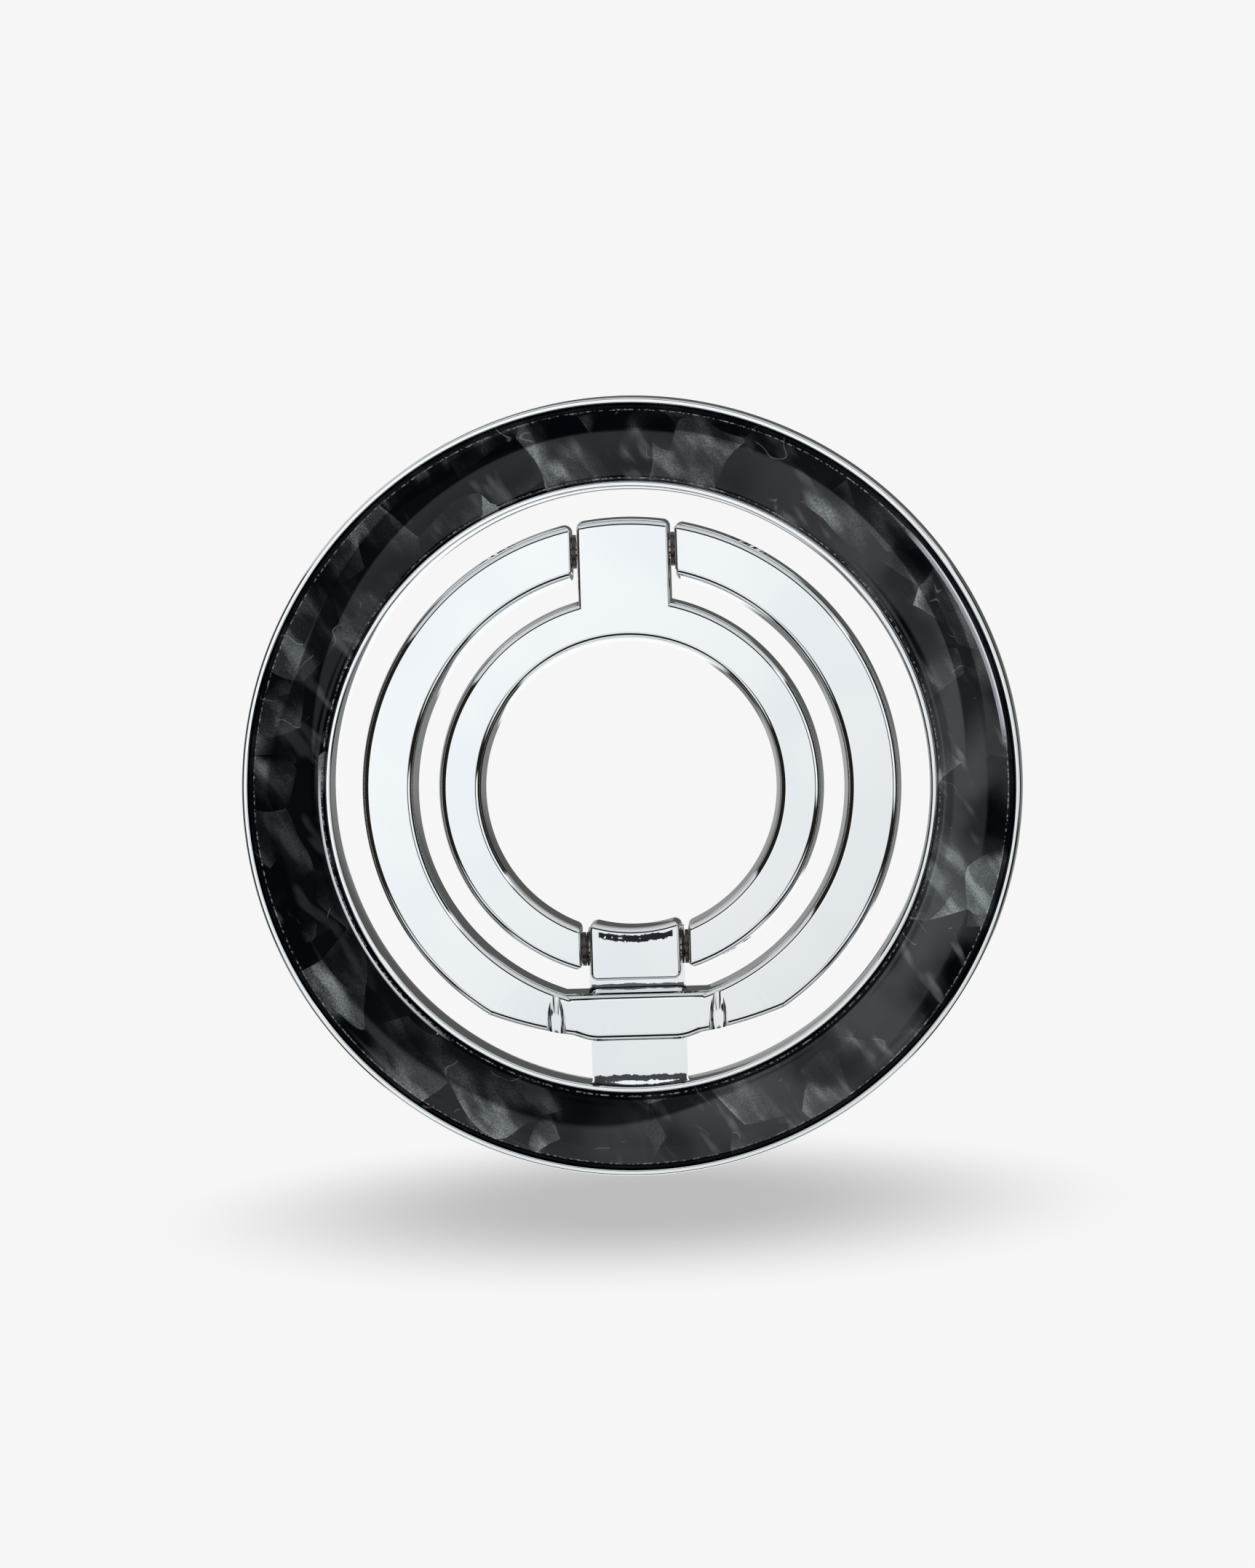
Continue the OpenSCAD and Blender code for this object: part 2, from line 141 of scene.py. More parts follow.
def cut(piece, tool, operation="DIFFERENCE"):
    """Cuts, joins or intersects a piece with a tool, which is then removed."""
    only(piece)
    modifier = piece.modifiers.new("cut", "BOOLEAN")
    modifier.operation = operation
    modifier.solver = "MANIFOLD"
    modifier.object = tool
    bpy.ops.object.modifier_apply(modifier=modifier.name)
    bpy.data.objects.remove(tool, do_unlink=True)
    return piece


def round_edges(piece, widths, segments=8):
    """Rounds sharp edges. widths lists (test of an edge's ends, radius), and the first that fits holds."""
    largest = max(width for _, width in widths)
    mesh = bmesh.new()
    mesh.from_mesh(piece.data)
    layers = mesh.edges.layers.float
    layer = layers.get("bevel_weight_edge") or layers.new("bevel_weight_edge")
    picked = 0
    for edge in mesh.edges:
        edge[layer] = 0
        if len(edge.link_faces) != 2 or edge.calc_face_angle() < SHARP_ANGLE:
            continue
        for test, width in widths:
            if test(edge.verts[0].co, edge.verts[1].co):
                edge[layer] = width / largest
                picked += 1
                break
    mesh.to_mesh(piece.data)
    mesh.free()
    only(piece)
    modifier = piece.modifiers.new("rounding", "BEVEL")
    modifier.limit_method = "WEIGHT"
    modifier.width = largest
    modifier.segments = segments
    modifier.use_clamp_overlap = False
    modifier.miter_outer = "MITER_SHARP"
    bpy.ops.object.modifier_apply(modifier=modifier.name)
    print(piece.name, "edges rounded", picked)
    return piece


# %% Helper for the last step of a piece
FLAT = 0.99999


def finish_piece(piece, angle=32):
    """Scales a finished piece to metres and shades it smooth, with its level faces kept flat as mirrors."""
    only(piece)
    bpy.ops.object.mode_set(mode="EDIT")
    bpy.ops.mesh.select_all(action="SELECT")
    bpy.ops.mesh.quads_convert_to_tris(quad_method="BEAUTY", ngon_method="BEAUTY")
    bpy.ops.object.mode_set(mode="OBJECT")
    piece.scale = (MM, MM, MM)
    bpy.ops.object.transform_apply(scale=True)
    bpy.ops.object.shade_smooth_by_angle(angle=math.radians(angle))
    bpy.ops.object.mode_set(mode="EDIT")
    bpy.ops.mesh.select_mode(type="FACE")
    pick(piece, "faces", lambda face: abs(face.normal.z) > FLAT)
    bpy.ops.mesh.set_normals_from_faces(keep_sharp=True)
    bpy.ops.mesh.select_mode(type="VERT")
    bpy.ops.object.mode_set(mode="OBJECT")
    print(piece.name, "triangles", len(piece.data.polygons))
    return piece


# %% Helpers for extruding
def draw_up(levels):
    """Extrudes what is selected through levels of (size, height), scaled about the Z axis."""
    size, height = levels[0]
    for next_size, next_height in levels[1:]:
        bpy.ops.mesh.extrude_region_move(TRANSFORM_OT_translate={"value": (0, 0, next_height - height)})
        scale = next_size / size
        bpy.ops.transform.resize(value=(scale, scale, 1), center_override=(0, 0, 0))
        size, height = next_size, next_height


def close_up(piece, name):
    """Turns the faces of a piece in edit mode outwards, leaves edit mode and settles the piece."""
    bpy.ops.mesh.select_all(action="SELECT")
    bpy.ops.mesh.normals_make_consistent(inside=False)
    bpy.ops.object.mode_set(mode="OBJECT")
    return settle(piece, name)


def flat_face(points):
    """One flat face through points, selected in edit mode, to be extruded."""
    deselect()
    bpy.ops.mesh.primitive_circle_add(vertices=len(points), radius=1, fill_type="NGON")
    piece = bpy.context.object
    for vertex, point in zip(piece.data.vertices, points):
        vertex.co = point
    bpy.ops.object.mode_set(mode="EDIT")
    bpy.ops.mesh.select_all(action="SELECT")
    return piece


# %% Helpers for turned and milled blanks
TURN_STEPS = 320
ROD_STEPS = 64


def turned(name, profile, steps=TURN_STEPS):
    """A solid of revolution: a circle is extruded through a closed profile of (radius, height)."""
    deselect()
    radius, height = profile[0]
    bpy.ops.mesh.primitive_circle_add(vertices=steps, radius=radius, location=(0, 0, height))
    piece = settle(bpy.context.object, name)
    bpy.ops.object.mode_set(mode="EDIT")
    bpy.ops.mesh.select_all(action="SELECT")
    draw_up(profile)
    pick(piece, "edges", lambda edge: edge.is_boundary)
    bpy.ops.mesh.select_mode(type="EDGE")
    bpy.ops.mesh.bridge_edge_loops()
    return close_up(piece, name)


def drum(name, radius, low_z, high_z):
    """A cylinder about the Z axis, with its sides in step with those of the turned pieces."""
    deselect()
    bpy.ops.mesh.primitive_cylinder_add(vertices=TURN_STEPS, radius=radius, depth=high_z - low_z,
                                        location=(0, 0, (low_z + high_z) / 2))
    return settle(bpy.context.object, name)


def block(name, low, high):
    """A cube between two corners."""
    deselect()
    low, high = Vector(low), Vector(high)
    bpy.ops.mesh.primitive_cube_add(size=1, location=(low + high) / 2)
    bpy.context.object.scale = high - low
    return settle(bpy.context.object, name)


def rod(name, radius, start, end, steps=ROD_STEPS):
    """A round bar between two points, as a drill or another cutting tool."""
    deselect()
    start, end = Vector(start), Vector(end)
    bpy.ops.mesh.primitive_cylinder_add(vertices=steps, radius=radius, depth=(end - start).length,
                                        location=(start + end) / 2)
    bpy.context.object.rotation_mode = "QUATERNION"
    bpy.context.object.rotation_quaternion = (end - start).to_track_quat("Z", "Y")
    return settle(bpy.context.object, name)


# %% [markdown]
# ## Drafted rings
# The inner and the middle ring are die cast, so their sides lean in towards the front by a few degrees, and
# a larger radius runs along the front edges than along the back ones. That section is drawn once, as points
# on arcs, and each ring is turned from it. Straight bars such as the tab have steeper sides and crisper
# edges.
# %% Section of the castings
FRONT_FILLET = 0.5
REAR_FILLET = 0.25
SIDE_DRAFT = 0.22
BLOCK_DRAFT = 0.08
END_EDGE = 0.22
FRONT_STEPS = 10
REAR_STEPS = 5
CORE_R = 1


def arc(centre, radius, start, end, steps):
    """Points on an arc, with its angles in degrees."""
    angles = [math.radians(start + (end - start) * i / steps) for i in range(steps + 1)]
    return [(centre[0] + radius * math.cos(a), centre[1] + radius * math.sin(a)) for a in angles]


def half_section(half, fillet=FRONT_FILLET, draft=SIDE_DRAFT):
    """The right half of a drafted section, from the back up, with its middle at 0."""
    back = arc((half - REAR_FILLET, RING_Z + REAR_FILLET), REAR_FILLET, -90, 0, REAR_STEPS)
    front = arc((half - draft - fillet, RING_TOP - fillet), fillet, 0, 90, FRONT_STEPS)
    return back + front


def ring_blank(name, outside, hole):
    """A full drafted ring with rounded edges."""
    centre_r = (outside + hole) / 2
    right = half_section((outside - hole) / 2)
    left = [(-x, z) for x, z in reversed(right)]
    return turned(name, [(centre_r + x, z) for x, z in right + left])


def disc_blank(name, outside):
    """A drafted disc with a rounded rim and a small hole at its centre."""
    return turned(name, [(CORE_R, RING_Z), *half_section(outside), (CORE_R, RING_TOP)])


def bar_blank(name, half_width, start_y, end_y):
    """A straight bar along Y, with steeper sides and smaller front edges than the rings have."""
    right = half_section(half_width, END_EDGE, BLOCK_DRAFT)
    outline = right + [(-x, z) for x, z in reversed(right)]
    piece = flat_face([(x, start_y, z) for x, z in outline])
    bpy.ops.mesh.extrude_region_move(TRANSFORM_OT_translate={"value": (0, end_y - start_y, 0)})
    return close_up(piece, name)


print("ring thickness mm", round(RING_T, 3), "straight bar edge", END_EDGE)

# %% [markdown]
# ## Edges that a cut leaves
# A gap sawn through a ring would have knife edges. A bevel can't round them, because they meet the ring's
# own rounded edges. Each such edge is cut by a tool with a hollow side instead: a straight one along the
# front edges, and one round a post for the upright corners. The post follows the lean of the ring's sides.
# %% Tools for straight edges and hinge bores
EDGE_ROD_STEPS = 80


def round_cut(piece, corner, along, inwards, length):
    """Rounds one straight front edge, which runs along an axis and has its metal on the inwards side."""
    corner, along, inwards = Vector(corner), Vector(along), Vector(inwards)
    centre = corner + inwards * END_EDGE - Vector((0, 0, END_EDGE))
    start, end = centre - along * length, centre + along * length
    outer = corner - inwards * OVER + Vector((0, 0, OVER))
    low = [min(pair) for pair in zip(start, outer)]
    high = [max(pair) for pair in zip(end, outer)]
    tool = block("rounding", low, high)
    cut(tool, rod("core", END_EDGE, start - along, end + along, steps=EDGE_ROD_STEPS))
    return cut(piece, tool)


def drill(piece, y, start_x, end_x, play):
    """Drills a hinge bore along X, wider than its pin by a play all round."""
    return cut(piece, rod("drill", PIN_R + play, (start_x, y, HINGE_Z), (end_x, y, HINGE_Z)))


# %% Tools for upright corners
END_FILLET = 0.55
POST_STEPS = 48
STRAIGHT_T = RING_T - FRONT_FILLET - REAR_FILLET
BEND_LOW = RING_Z + REAR_FILLET
BEND_HIGH = RING_TOP - FRONT_FILLET


def solid_stack(name, outline, levels):
    """A solid with a plan outline, drawn up through levels of (size, height). The first size is 1."""
    piece = flat_face([(x, y, levels[0][1]) for x, y in outline])
    draw_up(levels)
    return close_up(piece, name)


def leaned(z):
    """How much of its lean the side of a ring has taken at a height, from 0 at the back to 1."""
    return min(max((z - BEND_LOW) / STRAIGHT_T, 0), 1)


def corner_tool(centre, faces, leans, low_z):
    """A tool that rounds an upright corner and carries the front rounding round it.

    The corner's rounding is centred on centre, faces are the outward directions of its two sides, and leans
    tells for each side how far it leans in towards the front. The tool starts at low_z.
    """
    first, second = (Vector(face).normalized() for face in faces)
    lean = -(first * leans[0] + second * leans[1])
    reach = END_FILLET + OVER
    corner = [Vector((0, 0)), first * reach, (first + second) * reach, second * reach]
    circle = arc((0, 0), END_FILLET, 0, 360 * (POST_STEPS - 1) / POST_STEPS, POST_STEPS - 1)
    rim = arc((END_FILLET - END_EDGE, RING_TOP - END_EDGE), END_EDGE, 0, 90, FRONT_STEPS)
    wedge = solid_stack("wedge", corner, [(1, low_z), (1, BEND_LOW), (1, BEND_HIGH), (1, RING_TOP + OVER)])
    post = solid_stack("post", circle, [(1, low_z - OVER), (1, BEND_LOW), (1, BEND_HIGH),
                                        *[(radius / END_FILLET, z) for radius, z in rim]])
    for part in (wedge, post):
        for vertex in part.data.vertices:
            shift = Vector(centre) + lean * leaned(vertex.co.z)
            vertex.co.x += shift.x
            vertex.co.y += shift.y
    return cut(wedge, post)


def round_corners(piece, centre, faces, leans, low_z=RING_Z - OVER):
    """Rounds the same upright corner on both sides of the YZ plane."""
    for side in (-1, 1):
        mirrored = [(side * x, y) for x, y in (centre, *faces)]
        cut(piece, corner_tool(mirrored[0], mirrored[1:], leans, low_z))
    return piece


def in_wall(x, radius, up=1):
    """The point at x that lies at a radius from the origin, above or below the X axis."""
    return (x, up * math.sqrt(radius ** 2 - x ** 2))


def to_origin(point):
    """The direction from a point to the origin."""
    return (-point[0], -point[1])


# %% [markdown]
# ## Base ring
# The real base is one casting: two thin walls, a web between them, a tongue and the hinge knuckle. Its
# section is an H lying on its side. The ring could be cut from a disc, but turning it from that section in
# one go gives even quads all round. The lips get a very small radius, so that they catch one thin line of
# light.
# %% Turn the base ring
LIP_FILLET = 0.15
LIP_W = 0.45
WALL_T = 0.75
WALL_DRAFT = 0.4
INLAY_TAPE_T = 0.1
NEAR_RIM = 0.05
RIM_FILLET = REAR_FILLET * 0.95

inlay_low, inlay_high = box_mm("inlay_ring")
_, shield_high = box_mm("steel_shield")
WEB_LOW = shield_high.z
WEB_TOP = inlay_low.z - INLAY_TAPE_T
POCKET_R = BASE_R - WALL_DRAFT - LIP_W
POCKET_HOLE_R = HOLE_R + LIP_W
CHANNEL_R = BASE_R - WALL_T
CHANNEL_HOLE_R = HOLE_R + WALL_T

base = turned("base_casting", [
    (HOLE_R, BACK_Z), (HOLE_R, LIP_Z), (POCKET_HOLE_R, LIP_Z), (POCKET_HOLE_R, WEB_TOP),
    (POCKET_R, WEB_TOP), (POCKET_R, LIP_Z), (BASE_R - WALL_DRAFT, LIP_Z), (BASE_R, BACK_Z + REAR_FILLET),
    (BASE_R, BACK_Z), (CHANNEL_R, BACK_Z), (CHANNEL_R, WEB_LOW), (CHANNEL_HOLE_R, WEB_LOW),
    (CHANNEL_HOLE_R, BACK_Z)])


def on_lip(a, b):
    """The edge lies on the front of a lip."""
    return min(a.z, b.z) > LIP_Z - NEAR


def on_back_rim(a, b):
    """The edge lies at the back, on the outside or on the finger hole."""
    far = min(a.xy.length, b.xy.length)
    return max(a.z, b.z) < BACK_Z + NEAR and (far > BASE_R - NEAR_RIM or far < HOLE_R + NEAR_RIM)


round_edges(base, [(on_lip, LIP_FILLET), (on_back_rim, RIM_FILLET)], segments=6)

# %% [markdown]
# ## Tongue and knuckle
# The tongue is a flat bar from the inner wall to the knuckle, and the knuckle is a block on its end. Its
# edge towards the finger hole is hollow and follows the inner ring. A cylinder would leave that edge sharp,
# so a turned tool with a flared mouth cuts it and rounds its front in one go.
# %% Mill the tongue
TONGUE_W = 7.1
TONGUE_LIFT = 0.1
TONGUE_GAP = 0.25
EDGE_STEP = 0.45
TONGUE_Z = BACK_Z + TONGUE_LIFT
TONGUE_TOP = RING_Z - TONGUE_GAP
EDGE_R = INNER_HOLE_R - EDGE_STEP

tongue = block("tongue", (-TONGUE_W / 2, -HOLE_R - WALL_T / 2, TONGUE_Z),
               (TONGUE_W / 2, -EDGE_R / 2, TONGUE_TOP))
cut(tongue, drum("tool", EDGE_R, TONGUE_Z - OVER, LIP_Z + OVER))
print("tongue width mm", TONGUE_W, "top", round(TONGUE_TOP, 3))

# %% Mill the knuckle
KNUCKLE_W = 6.8
KNUCKLE_BACK_Y = -14.13
FOOT_LIFT = 0.05

knuckle = bar_blank("knuckle", KNUCKLE_W / 2, -INNER_R, -EDGE_R / 2)
cut(knuckle, block("tool", (-KNUCKLE_W, -INNER_R - OVER, RING_Z - OVER),
                   (KNUCKLE_W, KNUCKLE_BACK_Y, RING_TOP + OVER)))
round_cut(knuckle, (0, KNUCKLE_BACK_Y, RING_TOP), (1, 0, 0), (0, 1, 0), KNUCKLE_W)
foot = block("foot", (-KNUCKLE_W / 2, KNUCKLE_BACK_Y, TONGUE_Z + FOOT_LIFT),
             (KNUCKLE_W / 2, -EDGE_R / 2, RING_Z + REAR_FILLET))
cut(knuckle, foot, "UNION")
flare = arc((EDGE_R + FRONT_FILLET, RING_TOP - FRONT_FILLET), FRONT_FILLET, 180, 90, FRONT_STEPS)
cut(knuckle, turned("tool", [(CORE_R, TONGUE_Z - OVER), (EDGE_R, TONGUE_Z - OVER), *flare,
                             (EDGE_R + FRONT_FILLET, RING_TOP + OVER), (CORE_R, RING_TOP + OVER)]))
straight_corner = (KNUCKLE_W / 2 - END_FILLET, KNUCKLE_BACK_Y + END_FILLET)
round_corners(knuckle, straight_corner, [(1, 0), (0, -1)], (BLOCK_DRAFT, 0), TONGUE_Z - OVER)
print("knuckle width mm", KNUCKLE_W, "hollow radius", round(EDGE_R, 3))

# %% Join and finish the base
BORE_PLAY = 0.03

cut(knuckle, tongue, "UNION")
hollow_corner = in_wall(KNUCKLE_W / 2 - END_FILLET, EDGE_R + END_FILLET, -1)
round_corners(knuckle, hollow_corner, [(1, 0), to_origin(hollow_corner)], (BLOCK_DRAFT, 0), TONGUE_Z - OVER)
drill(knuckle, LOWER_Y, -KNUCKLE_W, KNUCKLE_W, BORE_PLAY)
cut(base, knuckle, "UNION")
finish_piece(base)
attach(base, "base")
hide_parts("base_frame")

# %% [markdown]
# ## Inner ring
# The inner ring is a C with a gap for the knuckle and a wide tab opposite. Ring and tab could be one
# outline with one bevel, but the tab's edges are crisper than the ring's. So each has its own rounded
# blank, the tab's end is trimmed to the middle ring's curve, and the two are joined before the gap is sawn.
# %% Mill the inner ring
TAB_W = 6.9
KNUCKLE_GAP = 0.53
PRESS_PLAY = 0.005
KNUCKLE_END_X = KNUCKLE_W / 2 + KNUCKLE_GAP

inner = ring_blank("inner_ring_casting", INNER_R, INNER_HOLE_R)
tab = bar_blank("tab", TAB_W / 2, (INNER_R + INNER_HOLE_R) / 2, MIDDLE_R + OVER)
cut(tab, disc_blank("tool", MIDDLE_R), "INTERSECT")
cut(inner, tab, "UNION")
cut(inner, block("tool", (-KNUCKLE_END_X, -INNER_R - OVER, RING_Z - OVER),
                 (KNUCKLE_END_X, 0, RING_TOP + OVER)))
for side in (-1, 1):
    round_cut(inner, (side * KNUCKLE_END_X, -INNER_R / 2, RING_TOP), (0, 1, 0), (side, 0, 0), INNER_R / 2)

# %% Round, drill and finish the inner ring
gap_outside = in_wall(KNUCKLE_END_X + END_FILLET, INNER_R - END_FILLET, -1)
gap_inside = in_wall(KNUCKLE_END_X + END_FILLET, INNER_HOLE_R + END_FILLET, -1)
tab_corner = in_wall(TAB_W / 2 - END_FILLET, MIDDLE_R - END_FILLET)
round_corners(inner, gap_outside, [(-1, 0), gap_outside], (0, SIDE_DRAFT))
round_corners(inner, gap_inside, [(-1, 0), to_origin(gap_inside)], (0, SIDE_DRAFT))
round_corners(inner, tab_corner, [(1, 0), tab_corner], (BLOCK_DRAFT, SIDE_DRAFT))
drill(inner, LOWER_Y, lower_pin_low.x, INNER_R, PRESS_PLAY)
drill(inner, UPPER_Y, -TAB_W, TAB_W, BORE_PLAY)
finish_piece(inner)
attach(inner, "inner")
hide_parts("inner_ring")

# %% [markdown]
# ## Middle ring
# The middle ring is a C that is open at the tab. Opposite, it narrows to a flatter arc, the neck, which
# carries a straight thumb bar with a groove at each end. Ring and bar are rounded apart and then joined, as
# the real casting shows a crease where they meet.
# %% Mill the open end
TAB_GAP = 0.35
TAB_END_X = TAB_W / 2 + TAB_GAP
END_MIDDLE_Y = MIDDLE_R * 0.85
END_HALF_LENGTH = MIDDLE_R * 0.2

middle = ring_blank("middle_ring_casting", MIDDLE_R, MIDDLE_HOLE_R)
cut(middle, block("tool", (-TAB_END_X, 0, RING_Z - OVER), (TAB_END_X, MIDDLE_R + OVER, RING_TOP + OVER)))
for side in (-1, 1):
    round_cut(middle, (side * TAB_END_X, END_MIDDLE_Y, RING_TOP), (0, 1, 0), (side, 0, 0), END_HALF_LENGTH)
end_outside = in_wall(TAB_END_X + END_FILLET, MIDDLE_R - END_FILLET)
end_inside = in_wall(TAB_END_X + END_FILLET, MIDDLE_HOLE_R + END_FILLET)
round_corners(middle, end_outside, [(-1, 0), end_outside], (0, SIDE_DRAFT))
round_corners(middle, end_inside, [(-1, 0), to_origin(end_inside)], (0, SIDE_DRAFT))
print("opening mm", round(2 * TAB_END_X, 3))

# %% Cut the neck
NECK_ARC_Y = 11.2
NECK_ARC_R = 29.95
NECK_REACH = 12
NECK_TOP_Y = -5

rim = half_section(NECK_ARC_R)
core_r = NECK_ARC_R - NECK_REACH
neck = turned("neck", [(core_r, RING_Z - OVER), (core_r, RING_TOP + OVER), (rim[-1][0], RING_TOP + OVER),
                       *reversed(rim), (rim[0][0], RING_Z - OVER)], steps=3 * TURN_STEPS)
neck.location.y = NECK_ARC_Y
settle(neck, "neck")
rest_of_ring = block("tool", (-MIDDLE_R - OVER, NECK_TOP_Y, RING_Z - 2 * OVER),
                     (MIDDLE_R + OVER, MIDDLE_R + OVER, RING_TOP + 2 * OVER))
cut(neck, rest_of_ring, "UNION")
cut(middle, neck, "INTERSECT")
print("neck reaches y mm", NECK_ARC_Y - NECK_ARC_R)

# %% Cut the grooves
BAR_HALF = 5.5
GROOVE_DEPTH = 0.6
GROOVE_W = 1.45
GROOVE_LENGTH = 5
GROOVE_STEPS = 96
GROOVE_END_Y = -(MIDDLE_R - 2.3)
GROOVE_R = ((GROOVE_W / 2) ** 2 + GROOVE_DEPTH ** 2) / (2 * GROOVE_DEPTH)
GROOVE_X = BAR_HALF + GROOVE_W / 2 - REAR_FILLET

groove_start_y = in_wall(GROOVE_X, MIDDLE_HOLE_R + FRONT_FILLET, -1)[1]
groove_tilt = math.atan(GROOVE_DEPTH / (groove_start_y - GROOVE_END_Y))
groove_way = Vector((0, -math.cos(groove_tilt), -math.sin(groove_tilt)))
for side in (-1, 1):
    start = Vector((side * GROOVE_X, groove_start_y, RING_TOP + GROOVE_R / math.cos(groove_tilt)))
    cut(middle, rod("groove", GROOVE_R, start, start + groove_way * GROOVE_LENGTH, steps=GROOVE_STEPS))
print("groove tilt degrees", round(math.degrees(groove_tilt), 1))

# %% Shape the thumb bar
BAR_FLAT_HALF = 3.55
BAR_CHAMFER = 0.74
BAR_INNER_Y = -(MIDDLE_HOLE_R - 0.9)
BAR_OUTER_Y = -(MIDDLE_R - 1.09)
FRONT_SHRINK = SIDE_DRAFT + FRONT_FILLET * SIDE_DRAFT / STRAIGHT_T

bar = block("bar", (-BAR_HALF, BAR_OUTER_Y, RING_Z), (BAR_HALF, BAR_INNER_Y, RING_TOP))
only(bar)
bpy.ops.object.mode_set(mode="EDIT")
for side in (-1, 1):
    bpy.ops.mesh.select_all(action="SELECT")
    bpy.ops.mesh.bisect(plane_co=(side * BAR_FLAT_HALF, BAR_OUTER_Y, 0),
                        plane_no=Vector((side * BAR_CHAMFER, BAR_FLAT_HALF - BAR_HALF, 0)).normalized(),
                        use_fill=True, clear_outer=True)
pick(bar, "faces", lambda face: face.normal.z > FLAT)
front_size = (1 - FRONT_SHRINK / BAR_HALF, 1 - 2 * FRONT_SHRINK / (BAR_INNER_Y - BAR_OUTER_Y), 1)
bpy.ops.transform.resize(value=front_size, center_override=(0, (BAR_INNER_Y + BAR_OUTER_Y) / 2, 0))
bpy.ops.object.mode_set(mode="OBJECT")

# %% Round the thumb bar, and finish the middle ring
CORNER_ROOM = 0.1


def outer_upright(a, b):
    """The edge runs from back to front, away from the bar's inner side."""
    return abs(a.z - b.z) > RING_T / 2 and max(a.y, b.y) < BAR_INNER_Y - FRONT_SHRINK - CORNER_ROOM


def at_front(a, b):
    """The edge lies on the front face."""
    return min(a.z, b.z) > RING_TOP - NEAR


def at_back(a, b):
    """The edge lies on the back face."""
    return max(a.z, b.z) < RING_Z + NEAR


round_edges(bar, [(outer_upright, END_FILLET)], segments=6)
round_edges(bar, [(at_front, FRONT_FILLET), (at_back, REAR_FILLET)])
cut(middle, bar, "UNION")
drill(middle, UPPER_Y, -MIDDLE_R, MIDDLE_R, BORE_PLAY)
finish_piece(middle)
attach(middle, "middle")
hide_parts("middle_ring")

# %% [markdown]
# ## Inlay
# The inlay is a resin ring with a low dome and a rounded shoulder along each edge. A bevelled plate would
# have a flat top that mirrors one tone. It is turned instead, with its dome as an arc, so that the
# reflections run evenly round it.
# %% Turn the inlay
SHOULDER_W = 0.55
SHOULDER_H = 0.42
DOME = 0.2
INLAY_PLAY = 0.05
INLAY_R = inlay_high.x
INLAY_HOLE_R = POCKET_HOLE_R + INLAY_PLAY
CROWN_Z = inlay_high.z
SHOULDER_Z = CROWN_Z - DOME - SHOULDER_H
SHOULDER_STEPS = 10
DOME_STEPS = 24


def shoulder(edge_r, inwards):
    """Points up the rounded shoulder at an edge. inwards is 1 or -1, the way to the inlay's middle."""
    angles = [math.pi / 2 * i / SHOULDER_STEPS for i in range(SHOULDER_STEPS + 1)]
    return [(edge_r + inwards * SHOULDER_W * (1 - math.cos(a)), SHOULDER_Z + SHOULDER_H * math.sin(a))
            for a in angles]


inlay_mid = (INLAY_R + INLAY_HOLE_R) / 2
dome_half = (INLAY_R - INLAY_HOLE_R) / 2 - SHOULDER_W
dome_r = (dome_half ** 2 + DOME ** 2) / (2 * DOME)
dome_angle = math.asin(dome_half / dome_r)
sweep = [dome_angle * (2 * i / DOME_STEPS - 1) for i in range(1, DOME_STEPS)]
dome = [(inlay_mid + dome_r * math.sin(a), CROWN_Z - dome_r * (1 - math.cos(a))) for a in sweep]
inlay = turned("inlay_resin", [(INLAY_HOLE_R, inlay_low.z), *shoulder(INLAY_HOLE_R, 1), *dome,
                               *reversed(shoulder(INLAY_R, -1)), (INLAY_R, inlay_low.z)])
finish_piece(inlay, angle=50)
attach(inlay, "base")
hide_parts("inlay_ring")

# %% [markdown]
# ## Back pad
# The pad is the soft ring that meets the phone. It closes the channel of the magnets, stands out a little
# behind the walls, and has soft edges there. A turned ring with one bevel is all that it needs.
# %% Turn the back pad
PAD_EDGE = 0.15
PAD_PLAY = 0.05
PAD_HOLE_R = CHANNEL_HOLE_R + PAD_PLAY

_, pad_high = box_mm("back_pad")
pad = turned("back_pad_soft", [(PAD_HOLE_R, 0), (PAD_HOLE_R, pad_high.z), (pad_high.x, pad_high.z),
                               (pad_high.x, 0)])
round_edges(pad, [(lambda a, b: max(a.z, b.z) < NEAR, PAD_EDGE)], segments=4)
finish_piece(pad)
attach(pad, "base")
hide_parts("back_pad")

